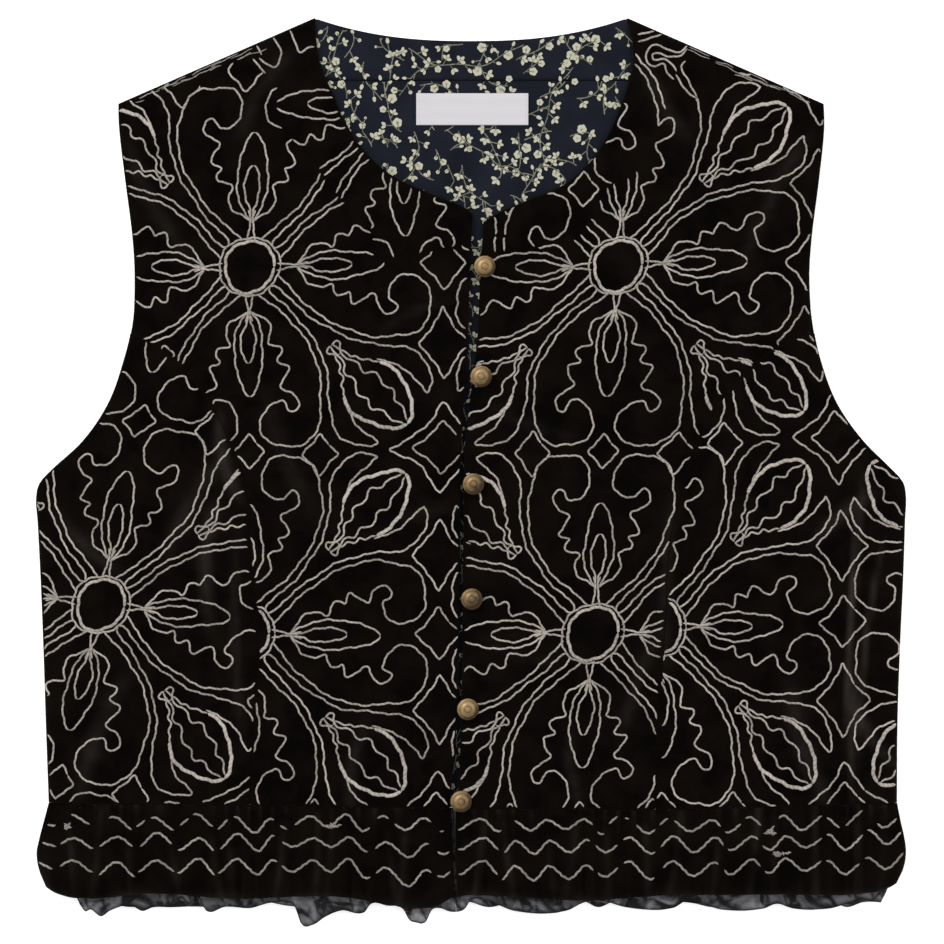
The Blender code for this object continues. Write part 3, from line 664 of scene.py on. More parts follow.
def brass_look(colours):
    """Antique brass, stamped and lacquered: warm gold on the high rings, brown tarnish in the hollows, and
    painted light and shade across each button.
    """
    look, tree = new_look("antique_brass_stamped", {"Metallic": 0.6, "Roughness": 0.42})
    place = {"Vector": add_node(tree, "ShaderNodeTexCoord", "Object")}
    # worn carries the rings' wear and each button's tone, with painted light and shade: lighter towards the
    # neck and the wearer's right, darker towards the hem and the wearer's left
    worn = add_node(tree, "ShaderNodeAttribute", "Fac", {"attribute_name": "worn"})
    # patches of tarnish about 2.5 mm across
    patches = add_node(tree, "ShaderNodeTexNoise", "Fac", {"Scale": 1 / 0.0025, "Detail": 4.0}, place)
    toned = add_node(tree, "ShaderNodeMath", 0, {"operation": "MULTIPLY_ADD", 1: 0.5}, {0: patches, 2: worn})
    stops = (0.1, shade(hex_colour("#3a2a12"))), (1.0, shade(colours.brass_colour))
    tarnished = add_node(tree, "ShaderNodeValToRGB", "Color", {}, {0: toned}, stops)
    relief = {"Strength": 0.2, "Distance": 0.0002}
    bump = add_node(tree, "ShaderNodeBump", "Normal", relief, {"Height": patches})
    return finished(look, {"Base Color": tarnished, "Normal": bump})


def floor_look():
    """Matt white paper sweep, lit until it reads as plain white, with a faint grain."""
    lit = {"Emission Color": (1.0, 1.0, 1.0, 1.0), "Emission Strength": 0.45}
    look, tree = new_look("matt_white_paper", {"Roughness": 0.9, "Specular IOR Level": 0.1, **lit})
    place = {"Vector": add_node(tree, "ShaderNodeTexCoord", "Object")}
    grain = add_node(tree, "ShaderNodeTexNoise", "Fac", {"Scale": 60.0}, place)
    stops = (0.0, (0.96, 0.96, 0.96, 1)), (1.0, (0.985, 0.985, 0.985, 1))
    paper = add_node(tree, "ShaderNodeValToRGB", "Color", {}, {0: grain}, stops)
    return finished(look, {"Base Color": paper})


# Each look's function, and a slot name for its pieces, which nothing here reads
LOOKS = {
    "velvet": (velvet_look, "velvet"),
    "thread": (thread_look, "velvet"),
    "lining": (lining_look, "lining_print"),
    "print": (print_look, "lining_print"),
    "label": (label_look, "woven_label"),
    "net": (net_look, "net"),
    "brass": (brass_look, "brass"),
}
MADE_LOOKS = {}


def look_of(name):
    """Each material is made once, when the first piece asks for it."""
    if name not in MADE_LOOKS:
        MADE_LOOKS[name] = LOOKS[name][0](bpy.context.scene.vest_colours)
    return MADE_LOOKS[name]


def new_piece(name, points, faces, look, replaced=(), values=None):
    """A smooth mesh from points in millimetres and arrays of equal-sided faces, on the vest's one body.

    Values are numbers or triples for each point, by the attribute that a material reads.
    """
    mesh = bpy.data.meshes.new(name)
    mesh.vertices.add(len(points))
    mesh.vertices.foreach_set("co", (points * MM).astype(np.float32).ravel())
    corners = np.concatenate([part.ravel() for part in faces]).astype(np.int32)
    sides = np.concatenate([np.full(len(part), part.shape[1]) for part in faces])
    starts = np.concatenate([[0], np.cumsum(sides)[:-1]]).astype(np.int32)
    mesh.loops.add(len(corners))
    mesh.loops.foreach_set("vertex_index", corners)
    mesh.polygons.add(len(starts))
    mesh.polygons.foreach_set("loop_start", starts)
    mesh.update(calc_edges=True)
    if mesh.validate():
        raise RuntimeError(f"{name}: the mesh has bad faces")
    mesh.shade_smooth()
    for attribute, data in (values or {}).items():
        triples = data if data.ndim == 2 else joined(data, data, data)
        stored = mesh.attributes.new(attribute, "FLOAT_VECTOR", "POINT")
        stored.data.foreach_set("vector", triples.astype(np.float32).ravel())
    mesh.materials.append(look_of(look))
    piece = bpy.data.objects.new(name, mesh)
    bpy.context.scene.collection.objects.link(piece)
    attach(piece, "root")
    if replaced:
        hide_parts(*replaced)
    return piece


def closed_cloth(top, under):
    """Points and quads of closed cloth: grids for its face and its underside, and a strip round the rim."""
    rows, columns = top.shape[:2]
    index = np.arange(rows * columns).reshape(rows, columns)
    face = joined(index[:-1, :-1], index[:-1, 1:], index[1:, 1:], index[1:, :-1]).reshape(-1, 4)
    rim = np.concatenate([index[0, :-1], index[:-1, -1], index[-1, :0:-1], index[:0:-1, 0]])
    ahead = np.roll(rim, -1)
    below = rows * columns
    wall = joined(ahead, rim, rim + below, ahead + below)
    quads = np.concatenate([face, face[:, ::-1] + below, wall])
    points = np.concatenate([top.reshape(-1, 3), under.reshape(-1, 3)])
    diagonal_one = points[face[:, 2], :2] - points[face[:, 0], :2]
    diagonal_two = points[face[:, 3], :2] - points[face[:, 1], :2]
    turned = np.sum(diagonal_one[:, 0] * diagonal_two[:, 1] - diagonal_one[:, 1] * diagonal_two[:, 0])
    if turned < 0:
        quads = quads[:, ::-1]
    return points, quads


def cloth_piece(name, node, look, top, under, values=None):
    """Closed cloth from a grid for its face and one for its underside, in place of a node."""
    points, quads = closed_cloth(top, under)
    return new_piece(name, points, [quads], look, [node], values)


def within_rim(grid):
    """0 on the rim of a grid and 1 inside it."""
    inside = np.ones_like(grid)
    inside[[0, -1]] = 0
    inside[:, [0, -1]] = 0
    return inside


def spread(width, count):
    """Distances across a row: close together in both rolled edges, even between them."""
    near = np.array([0.0, 0.22, 0.55, 1.0])
    roll = np.minimum(EDGE_ROLL, 0.3 * width)[..., None]
    first = roll * near
    last = width[..., None] - roll * near[::-1]
    inside = np.linspace(0, 1, count + 1)[1:-1]
    middle = roll + (width[..., None] - 2 * roll) * inside
    return np.concatenate([first, middle, last], axis=-1)


def fine_rows(knots, lengths):
    """Row numbers from the first knot to the last, in steps near CELL, finer at both ends."""
    parts = []
    for start, end, length in zip(knots[:-1], knots[1:], lengths):
        count = max(1, round((end - start) * length / CELL))
        parts.append(np.linspace(start, end, count + 1)[:-1])
    rows = np.concatenate([*parts, [knots[-1]]])
    near = np.array([0.22, 0.55, 1.0]) * EDGE_ROLL
    first = knots[0] + near / lengths[0]
    last = knots[-1] - near / lengths[-1]
    return np.unique(np.round(np.concatenate([rows, first, last]), 5))


def centre_front_grid(side):
    """x, y and distance from the edge, in rows from the outer edge to the opening or the neck."""
    corner = NECKS[side]["y"][0]
    seam_foot = princess(side, PRINCESS["y"][0])
    opening_foot = OPENING[side][0]
    knots = [0, 16, 18, 27]
    lengths = [17.0, 16.0, 11.3]
    row = fine_rows(knots, lengths)
    outer_knots = [waist(seam_foot), PRINCESS_TOP_Y, NECK_CORNER_ARMHOLE_Y, SHOULDER_TIP_Y]
    inner_knots = [waist(opening_foot), PRINCESS_ROW_OPENING_Y, corner, NECK_POINT_Y]
    outer_y = np.interp(row, knots, outer_knots)
    inner_y = np.interp(row, knots, inner_knots)
    start = joined(outer_edge(side, outer_y), outer_y)
    end = joined(front_edge(side, inner_y), inner_y)
    width = np.linalg.norm(end - start, axis=-1)
    along = spread(width, round(width.max() / CELL))
    share = (along / width[:, None])[..., None]
    flat = start[:, None] * (1 - share) + end[:, None] * share
    from_ends = np.minimum(row * lengths[0], (knots[-1] - row) * lengths[-1])[:, None]
    distance = np.minimum(np.minimum(along, width[:, None] - along), from_ends)
    return flat[..., 0], flat[..., 1], distance


def side_front_grid(side):
    """Level rows from the side seam and the lower armhole to the princess seam."""
    towards = TOWARDS[side]
    length = PRINCESS_TOP_Y - waist(princess(side, PRINCESS["y"][0]))
    row = fine_rows([0, 1], [length])
    height = PRINCESS_TOP_Y - length * (1 - row)
    seam = princess(side, height) - towards * SEAM_GAP / 2
    outer = silhouette(side, height)
    width = np.abs(seam - outer)
    along = spread(width, round(width.max() / CELL))
    x = outer[:, None] + towards * along
    foot = waist(x)
    y = foot + (PRINCESS_TOP_Y - foot) * row[:, None]
    from_ends = np.minimum(row, 1 - row)[:, None] * length
    distance = np.minimum(np.minimum(along, width[:, None] - along), from_ends)
    return x, y, distance


def front_outline(kind, side):
    """A front piece's edge as closely spaced points, to measure how far a stitch lies from it."""
    towards = TOWARDS[side]
    step = 1.2
    foot = waist(princess(side, PRINCESS["y"][0]))
    low = np.arange(foot, PRINCESS_TOP_Y, step)
    seam = joined(princess(side, low), low)
    if kind == "side":
        outer = joined(silhouette(side, low), low)
        across = np.arange(-1, 1.001, 0.01) * 120 + seam[0, 0]
        bottom = joined(across, waist(across))
        return np.concatenate([seam, outer, bottom])
    corner = NECKS[side]["y"][0]
    armhole_y = np.arange(PRINCESS_TOP_Y, SHOULDER_TIP_Y, step)
    armhole = joined(outer_edge(side, armhole_y), armhole_y)
    opening_y = np.arange(foot, corner, step)
    opening = joined(front_edge(side, opening_y), opening_y)
    neck_y = corner + (NECK_POINT_Y - corner) * np.linspace(0, 1, 180) ** 1.6
    neck = joined(front_edge(side, neck_y + 0.01), neck_y)
    share = np.linspace(0, 1, 110)[:, None]
    tip = np.array([-towards * SHOULDER_TIP_X, SHOULDER_TIP_Y])
    point = np.array([-towards * NECK_POINT_X, NECK_POINT_Y])
    shoulder = tip * (1 - share) + point * share
    across = np.linspace(seam[0, 0], opening[0, 0], 110)
    bottom = joined(across, waist(across))
    return np.concatenate([seam, armhole, shoulder, neck, opening, bottom])


def inside_front(kind, side, x, y):
    """True where a point lies within a front piece."""
    towards = TOWARDS[side]
    seam = princess(side, y)
    above_waist = y > waist(x)
    if kind == "side":
        outer = silhouette(side, y)
        return above_waist & (y < PRINCESS_TOP_Y) & (towards * (x - outer) > 0) & (towards * (seam - x) > 0)
    within = (towards * (x - outer_edge(side, y)) > 0) & (towards * (front_edge(side, y) - x) > 0)
    return above_waist & within & (from_shoulder(x, y) > 0)


def nearest(points, outline):
    """The distance from each point to the nearest point of an outline."""
    gap = points[:, None, :] - outline[None, :, :]
    return np.sqrt((gap * gap).sum(axis=-1).min(axis=1))


def run_along(line):
    """The length run from a line's start to each of its points."""
    return np.concatenate([[0], np.cumsum(np.linalg.norm(np.diff(line, axis=0), axis=1))])


def beside(line):
    """Unit vectors to the left of a line at each of its points."""
    ahead = np.gradient(line, axis=0)
    ahead = ahead / np.maximum(np.linalg.norm(ahead, axis=1, keepdims=True), 1e-9)
    return joined(-ahead[:, 1], ahead[:, 0])


def sampled(points, step):
    """A smooth line through points, at even steps: x and y are each a curve over the chords' length."""
    lengths = run_along(points)
    at = np.linspace(0, lengths[-1], max(3, round(lengths[-1] / step) + 1))
    return joined(through(at, lengths, points[:, 0]), through(at, lengths, points[:, 1]))


def with_corners(points, corners, step):
    """A line through points that turns sharply where corners is 1 and smoothly elsewhere."""
    stops = [0, *np.flatnonzero(corners[1:-1]) + 1, len(points) - 1]
    parts = [sampled(points[a : b + 1], step)[:-1] for a, b in zip(stops[:-1], stops[1:])]
    return np.concatenate([*parts, points[-1:]])


def softened(line, step):
    """Rounds sharp turns as a needle does: each point is a bell-weighted mean of its neighbours."""
    half = max(1, round(CORNER_REACH / step))
    weights = np.hanning(2 * half + 3)[1:-1]
    weights = weights / weights.sum()
    before = 2 * line[0] - line[half:0:-1]
    after = 2 * line[-1] - line[-2 : -half - 2 : -1]
    longer = np.concatenate([before, line, after])
    return joined(*(np.convolve(longer[:, k], weights, "valid") for k in (0, 1)))


def rippled(line, height, length, start=0.0):
    """Moves a line sideways in even waves."""
    run = run_along(line)
    fade = np.minimum(1, np.minimum(run, run[-1] - run) / length)
    shift = height * np.sin(2 * np.pi * run / length + start) * fade
    return line + beside(line) * shift[:, None]


def petal_lines(step):
    """Half of a petal, v upward: two leaves, stem, toothed edge into a scroll and a heart, and the horn."""
    leaf_t = np.sin(np.linspace(0, np.pi / 2, 15))
    bulge = np.sin(np.pi * np.minimum(leaf_t**0.92, 1))
    leaf = joined(24 + 49 * leaf_t, 8.2 * bulge ** (0.85 - 0.35 * leaf_t))
    inner_bulge = np.sin(np.pi * np.clip((leaf_t - 0.2) / 0.8, 0, 1))
    inner = joined(25 + 30 * leaf_t, 3.8 * inner_bulge ** (0.9 - 0.45 * leaf_t) + 0.7 * (1 - leaf_t))
    turn = np.radians(np.linspace(176, 374, 12))
    radius = SCROLL_RADIUS * np.linspace(0.86, 1, 12) ** 0.5
    scroll = joined(SCROLL_U + radius * np.cos(turn), SCROLL_V + radius * np.sin(turn))
    contour = np.concatenate([joined(*TEETH.values()), scroll, joined(*HEART.values())])
    horn = with_corners(joined(OUTER_LINE["u"], OUTER_LINE["v"]), OUTER_LINE["corner"], step)
    plain = [sampled(points, step) for points in (leaf, inner, joined(*STEM.values()))]
    return [*plain, softened(sampled(contour, step), step), softened(horn, step)]


def bud_lines(step):
    """Half of a bud, along its own middle line: wavy neck, thick flank, a wavy inner line and a knot."""
    neck = rippled(sampled(joined(*BUD_NECK.values()), step), 0.7, 7.0)
    flank = sampled(joined(*BUD_SATIN.values()), step)
    inner = rippled(sampled(joined(*BUD_INNER.values()), step), 1.4, 12.5)
    turn = np.linspace(0, np.pi, 9)
    lobe = 3.9 + 0.9 * np.cos(3 * turn)
    knot = joined(66.5 + 0.8 * lobe * np.cos(turn), lobe * np.sin(turn))
    return [(neck, "chain"), (flank, "satin"), (inner, "chain"), (sampled(knot, step), "chain")]


def diamond_line(half_p, half_q, hollow, step):
    """A diamond with hollow sides: each side bends in towards the middle between two tips."""
    tips = np.array([[0, half_q], [-half_p, 0], [0, -half_q], [half_p, 0]])
    middles = (tips + np.roll(tips, 1, axis=0)) / 2 * (1 - hollow)
    points = np.empty((9, 2))
    points[0:8:2] = middles
    points[1::2] = tips
    points[8] = middles[0]
    corners = np.array([0, 1, 0, 1, 0, 1, 0, 1, 0])
    return softened(with_corners(points, corners, step), step)


def rosette_lines(step):
    """All lines of one repeat: p across and q up from the rosette's centre, with the thread's style."""
    lines = []
    turn = np.linspace(0, 2 * np.pi, 97)
    for radius, oval, tilt, style in ((RING_OUTER, 0.02, 0.6, "chain"), (RING_INNER, 0.05, -1.05, "ring")):
        egg = radius * (1 + oval * np.sin(2 * turn + tilt))
        lines.append((sampled(joined(egg * np.cos(turn), egg * np.sin(turn)), step), style))
    for side in (1, -1):
        for line in petal_lines(step):
            u, v = line[:, 0], line[:, 1] * side
            for across, up in ((u, v * 0.97), (-v, u), (-u, -v * 0.97), (v, -u)):
                lines.append((joined(across, up), "chain"))
        for line, style in bud_lines(step):
            d, w = line[:, 0] * math.sqrt(0.5), line[:, 1] * side * math.sqrt(0.5)
            for across, up in ((d - w, d + w), (-d - w, d - w), (-d + w, -d - w), (d + w, -d + w)):
                lines.append((joined(across, up), style))
    for p, q, half_p, half_q, hollow in zip(*DIAMONDS.values()):
        lines.append((diamond_line(half_p, half_q, hollow, step) + [p, q], "chain"))
    return lines


def hand_guided(line, number):
    """Small wanderings of a hand-guided needle: slow sways shared by neighbours, and ripples of its own."""
    x, y = line[:, 0], line[:, 1]
    sway_x = 0.9 * np.sin(x / 23 + y / 31 + 0.7) + 0.35 * np.sin(y / 7.1 + x / 11)
    sway_y = 0.9 * np.sin(x / 29 - y / 21 + 2.1) + 0.35 * np.sin(x / 6.3 - y / 13)
    swayed = rippled(line + joined(sway_x, sway_y), 0.42, 23.0, number * 1.1)
    waved = rippled(swayed, 0.26, 8.7, number * 1.7)
    return rippled(waved, 0.1, 4.4, number * 2.3)


def runs_within(mask, least):
    """Start and end of each unbroken run of True that is long enough."""
    padded = np.concatenate([[False], mask, [False]])
    changes = np.flatnonzero(padded[1:] != padded[:-1])
    return [(a, b) for a, b in zip(changes[::2], changes[1::2]) if b - a >= least]


def pattern_on(lattice, step, kept, box):
    """The repeat laid over a piece, as runs of x and y; kept says which points lie on the piece."""
    origin, right, down = (np.array(part) for part in LATTICES[lattice])
    across = right / PITCH_ACROSS
    up = -down / PITCH_DOWN
    low, high = box
    found = []
    repeat = rosette_lines(step)
    for column in range(-3, 4):
        for row in range(-3, 4):
            centre = origin + column * right + row * down
            if np.any(centre < low - REPEAT_REACH) or np.any(centre > high + REPEAT_REACH):
                continue
            for number, (line, style) in enumerate(repeat):
                moved = centre + line[:, :1] * across + line[:, 1:] * up
                if np.any(moved.max(axis=0) < low) or np.any(moved.min(axis=0) > high):
                    continue
                moved = hand_guided(moved, number)
                for a, b in runs_within(kept(moved), 4):
                    found.append((moved[a:b], style))
    return found


def thread_piece(name, runs, look="thread", upward=1):
    """Tubes of four sides along runs of points, tapered shut at both ends.

    Each link of the chain swells and narrows the tube a little, and twist stores its length, side and tone.
    """
    points, quads, twists = [], [], []
    offset = 0
    rng = np.random.default_rng(SEED)
    scale = bpy.context.scene.vest_sizes.thread_width / MM / STYLES["chain"][0]
    side_shares = np.array([-0.5, -0.3, 0.3, 0.5])
    lift_shares = np.array([0.0, 1.0, 1.0, 0.0])
    for line, (width, height, shift) in runs:
        run = run_along(line[:, :2])
        swell = 0.92 + 0.08 * np.abs(np.sin(np.pi * run / LINK))
        taper = np.minimum(1, 0.25 + np.minimum(run, run[-1] - run) / 1.6)
        across = (width * scale * swell * taper)[:, None] * side_shares
        lift = (height * taper)[:, None] * lift_shares - THREAD_SINK * (1 - lift_shares)
        ring = np.empty((len(line), 4, 3))
        ring[..., :2] = line[:, None, :2] + across[..., None] * beside(line[:, :2])[:, None, :]
        ring[..., 2] = line[:, None, 2] + upward * lift
        start = rng.uniform(0, 6, 3)
        patchy = np.sin(run / 2.3 + start[1]) * np.sin(run / 5.9 + start[2])
        # shift is the style's tone: on the frill's rows it is painted shade
        tone = 0.42 + shift + rng.normal(0, 0.1) + 0.1 * np.sin(run / 17 + start[0]) + 0.24 * patchy
        twist = joined(*np.broadcast_arrays(run[:, None], side_shares * 3.0, tone[:, None]))
        index = np.arange(len(line) * 4).reshape(-1, 4) + offset
        ahead = np.roll(index, -1, axis=1)
        walls = joined(index[:-1], index[1:], ahead[1:], ahead[:-1]).reshape(-1, 4)
        faces = np.concatenate([walls, index[:1], index[-1:, ::-1]])
        quads.append(faces if upward > 0 else faces[:, ::-1])
        points.append(ring.reshape(-1, 3))
        twists.append(twist.reshape(-1, 3))
        offset += len(line) * 4
    values = {"twist": np.concatenate(twists)}
    return new_piece(name, np.concatenate(points), [np.concatenate(quads)], look, (), values)


def shoulder_scraps(side):
    """Thin broken strokes beside the shoulder, where the pattern turns over the edge."""
    rng = np.random.default_rng(SEED + (7 if side == "right" else 8))
    towards = TOWARDS[side]
    tip = np.array([-towards * SHOULDER_TIP_X, SHOULDER_TIP_Y])
    run = np.array([-towards * NECK_POINT_X, NECK_POINT_Y]) - tip
    length = math.hypot(*run)
    inward = np.array([-run[1], run[0]]) / length * (-towards)
    lines = []
    for start in np.sort(rng.uniform(3, 0.62 * length, 15)):
        along = start + np.arange(0, rng.uniform(6, 17), 0.9)
        lean = rng.uniform(-0.14, 0.14) * (along - start)
        depth = np.clip(rng.uniform(1.4, 4.6) + lean + 0.25 * np.sin(along / 1.6), 1.2, 6.0)
        lines.append(tip + along[:, None] * run / length + depth[:, None] * inward)
    return lines


def front_threads(kind, side):
    """Every stitched run on one front piece, laid on its velvet."""
    outline = front_outline(kind, side)
    edges = outline.astype(np.float32)

    def on_piece(line):
        mask = inside_front(kind, side, line[:, 0], line[:, 1])
        if mask.any():
            mask[mask] = nearest(line[mask].astype(np.float32), edges) > STITCH_CLEAR
        return mask

    def shifted(line):
        """True where the cloth is pieced: above the patch's foot, on the neck's side of its line."""
        patch = PATCHES[side]
        gap = line[:, 0] - np.interp(line[:, 1], patch["y"], patch["x"])
        start = patch["y"][0] + PATCH_RISE[side] * (line[:, 0] - patch["x"][0])
        return (line[:, 1] > start) & (TOWARDS[side] * gap > 0)

    def regular(line):
        """True where the repeat runs on: not where the loose lines by the neck point replace it."""
        x, y = line[:, 0], line[:, 1]
        if side == "left":
            # a wedge beside the neck point, between two slanted limits
            above = (y > np.where(x > 126, 201.5, 206)) & ((y > 236 - 0.9 * (x - 90)) | (x > 105.5))
            return on_piece(line) & ~(above & (x < 134.5 + 0.8 * np.maximum(0, y - 204)))
        # a corner beside the neck point, one diamond below it, and a strip along the shoulder
        beside_neck = (y > 213.5) & (x > -121)
        diamond = np.abs(x + 120) + np.abs(y - 216.2) < 11.5
        along_shoulder = (from_shoulder(x, y) < 9 + 0.25 * np.maximum(0, x + 146)) & (x > -155) & (x < -120)
        return on_piece(line) & ~(beside_neck | diamond | along_shoulder)

    def laid(lattice, kept):
        return pattern_on(lattice, THREAD_STEP, kept, (outline.min(axis=0), outline.max(axis=0)))

    if kind == "centre":
        found = laid(f"centre_{side}", lambda line: regular(line) & ~shifted(line))
        found += laid(f"neck_patch_{side}", lambda line: regular(line) & shifted(line))
        for number in np.unique(LOOSE_LINES["line"][TOWARDS[side] * LOOSE_LINES["x"] < 0]):
            points = joined(LOOSE_LINES["x"], LOOSE_LINES["y"])[LOOSE_LINES["line"] == number]
            line = rippled(sampled(points, THREAD_STEP), 0.26, 8.7, number)
            found += [(line[a:b], "chain") for a, b in runs_within(on_piece(line), 4)]
        found += [(line, "scrap") for line in shoulder_scraps(side)]
    else:
        found = laid(f"side_{side}", on_piece)
    runs = []
    for line, style in found:
        z = velvet_top(line[:, 0], line[:, 1], nearest(line.astype(np.float32), edges))
        runs.append((np.column_stack([line, z]), STYLES[style]))
    return runs


def frill_top_y(x):
    return waist(x) - SEAM_GAP


def frill_hem_y(x):
    return curve(FRILL_HEM, "y", x)


def drop_at(line, hem_at):
    """How far down a frill a line's points lie: 0 at the seam, 1 at the hem."""
    top = frill_top_y(line[:, 0])
    return (top - line[:, 1]) / (top - hem_at(line[:, 0]))


def frill_ends(side, drop):
    """x of a front frill's outer edge and of its edge at the opening."""
    return curve(FLARE, side, drop), curve(FRILL_OPENING, side, drop)


def frill_folds(side):
    """The frill's larger folds, left to right: x at the seam, drift to the hem, depth and starting drop."""
    rng = np.random.default_rng(SEED + (5 if side == "right" else 6))
    low, high = sorted(frill_ends(side, 0.0))
    count = int((high - low) / FOLD_STEP)
    at = low + (np.arange(count) + 0.5 + rng.uniform(-0.36, 0.36, count)) * FOLD_STEP
    return zip(at, rng.uniform(-7, 7, count), rng.uniform(0.35, 1.0, count), rng.uniform(-0.2, 0.35, count))


def frill_fields(side, x, drop):
    """Underside and painted sheen of the front frill: waves deeper to the hem, pinches at the seam, wide
    folds.
    """
    depth = FRONT_WAVE_TOP + (FRONT_WAVE_HEM - FRONT_WAVE_TOP) * drop**0.7
    waist_z = front_height(x, waist(x))
    middle = waist_z + (FRILL_HEM_Z - waist_z) * eased(drop, 1.0)
    phase = gather_phase(x, GATHERS)
    wave = 0.7 * depth * np.cos(phase + 0.5 * np.sin(phase * 0.37 + 1.0))
    pinched = phase * 1.3 + 1.3 + 2 * np.sin(x / 17)
    pinch = 0.45 * np.cos(pinched) * np.exp(-drop / 0.2)
    lean = 0.5 * drop * np.sin(x / 26 + 1.7) + 0.35 * drop * np.sin(x / 9.7)
    pleat = np.maximum(0, np.sin(pinched)) ** 2 * (0.5 + 0.5 * np.sin(x / 11))
    # painted sheen: the colour is lightened on the pinches by the seam and on one flank of each wide fold
    glow = 0.22 * pleat * np.exp(-drop / 0.12)
    for at, drift, deep, start in frill_folds(side):
        across = x - at - drift * drop**1.6
        reach = eased(drop - start, 0.3) * deep * (1 - 0.35 * drop)
        wave = wave + reach * (0.7 * bell(across - 2.2, 1.8) - bell(across, 1.2))
        glow = glow + 0.3 * reach * bell(across - 1.8, 2.1) * (0.7 + 0.3 * np.sin(drop * 9 + at))
    # painted sheen along the hem
    glow = glow + 0.12 * bell(1 - drop, 0.05) * (0.6 + 0.4 * np.sin(x / 8))
    lift = eased(np.abs(curve(FLARE, side, drop) - x), FRILL_SIDE_REACH)
    floor = BACK_WAVE + RUFFLE_WALL + SEAM_GAP
    return floor + (middle + wave + pinch + lean - floor) * lift, glow


def frill_cloth(side):
    """The front frill's face and underside on one grid, and its painted sheen."""
    share = abs(FLARE[side][0] - FRILL_OPENING[side][0]) / (2 * FRILL_HALF_WIDTH)
    even = np.linspace(0, 1, round(GATHERS * 15 * share) + 1)
    across = np.unique(np.concatenate([even, [0.001, 0.003, 0.006, 0.994, 0.997, 0.999]]))[None, :]
    even = np.linspace(0, 1, 29)
    drop = np.unique(np.concatenate([even, [0.004, 0.012, 0.025, 0.975, 0.988, 0.996]]))[:, None]
    outer, inner = frill_ends(side, drop)
    x = outer * (1 - across) + inner * across
    top = frill_top_y(x)
    y = top + (frill_hem_y(x) - top) * drop
    under, glow = frill_fields(side, x, np.repeat(drop, x.shape[1], axis=1))
    from_hem = np.minimum(drop, 1 - drop) * FRILL_DEPTH
    from_edge = np.minimum(from_hem, np.minimum(across, 1 - across) * FRILL_FRONT_WIDTH)
    upper = under + RUFFLE_WALL * (EDGE_SHARE + (1 - EDGE_SHARE) * eased(from_edge, 1.4))
    return joined(x, y, upper), joined(x, y, under + 0.5), glow


def wavy_rows(rng, ends_at, hem_at, turns, step):
    """Three wavy rows across a frill, all on one uneven wave and broken where gathers hide them."""
    low = min(ends_at(0.0))
    turns_x = low - 8 + np.cumsum(rng.uniform(7.0, 13.5, turns))
    turns_y = rng.uniform(2.4, 4.6, turns) * np.where(np.arange(turns) % 2, 1, -1)
    breaks_in_all = turns * 3 // 4
    shared = low - 9 + np.cumsum(rng.choice([14.0, 22.0, 34.0, 52.0], breaks_in_all, p=[0.2, 0.3, 0.3, 0.2]))
    parts = turns * 9 // 4
    lines = []
    for level, breaks, amplitude in zip(*WAVY_ROWS.values()):
        ends = ends_at(level)
        cuts = shared + rng.normal(0, 0.8, breaks_in_all)
        if breaks == 1:
            cuts = np.sort(np.concatenate([cuts, shared[:-1] + rng.uniform(5, 12, breaks_in_all - 1)]))
        x = np.arange(min(ends) + 1.4, max(ends) - 1.4, step)
        part = np.searchsorted(cuts, x)
        slip = rng.normal(0, 0.7 if breaks == 2 else 1.2, parts)[part]
        shares = rng.uniform(0.8, 1.15, parts)[part]
        height = amplitude * through(x + 1.2 * np.sin(level * 9), turns_x, turns_y) * shares
        top = frill_top_y(x)
        y = np.minimum(top + (hem_at(x) - top) * level + height + slip, top - 1.2)
        gap = np.abs(x[:, None] - cuts[None, :]).min(axis=1)
        widths = rng.choice([0.5, 0.9, 1.8], parts, p=[0.45, 0.35, 0.2])[part]
        for a, b in runs_within(gap > widths * (1.5 if breaks == 1 else 1.0), 4):
            lines.append(rippled(joined(x, y)[a:b], 0.2, 4.1, a))
    return lines


def frill_threads(side):
    """Every stitched run on the front frill: its wavy rows and a few knots of loose thread."""
    rng = np.random.default_rng(SEED + (3 if side == "right" else 4))
    low, high = sorted(frill_ends(side, 0.0))
    lines = wavy_rows(rng, lambda level: frill_ends(side, level), frill_hem_y, 40, 0.8)
    for x, y in zip(*TANGLES.values()):
        if low < x < high:
            for turn in rng.uniform(0, np.pi, 9):
                middle = np.array([x, y]) + rng.normal(0, [1.6, 0.8])
                reach = np.array([math.cos(turn), 0.6 * math.sin(turn)]) * rng.uniform(1.2, 2.6)
                lines.append(rippled(middle + np.linspace(-1, 1, 7)[:, None] * reach, 0.5, 2.4, turn))
    runs = []
    for line in lines:
        z = frill_fields(side, line[:, 0], drop_at(line, frill_hem_y))[0] + RUFFLE_WALL
        runs.append((np.column_stack([line, z]), STYLES["row"]))
    return runs


def back_frill_hem_y(x):
    return BACK_FRILL_HEM_Y + 1.6 * np.cos(gather_phase(x, 9)) + 5.0 * (np.abs(x) / 238) ** 12


def back_frill_wave(x, drop):
    """How far the back frill waves up from the table."""
    wave = np.maximum(0, BACK_WAVE * np.cos(gather_phase(x, GATHERS) + 1.0) * drop**0.5)
    return wave * eased(FRILL_HALF_WIDTH + 6 - np.abs(x), 18.0)


def back_frill_cloth():
    """The frill under the vest: flat where it rests on the table, waving up between."""
    drop = np.linspace(0, 1, 16)[:, None]
    across = np.linspace(0, 1, GATHERS * 10 + 1)[None, :]
    x = curve(FLARE, "right", drop) * (1 - across) + curve(FLARE, "left", drop) * across
    top = frill_top_y(x)
    y = top + (back_frill_hem_y(x) - top) * drop
    z = back_frill_wave(x, drop)
    from_hem = np.minimum(drop, 1 - drop) * BACK_FRILL_DEPTH
    roll = eased(np.minimum(from_hem, np.minimum(across, 1 - across) * BACK_FRILL_WIDTH), 1.6)
    return joined(x, y, z + RUFFLE_WALL * (0.5 + 0.5 * roll)), joined(x, y, z + 0.3 * (1 - roll))


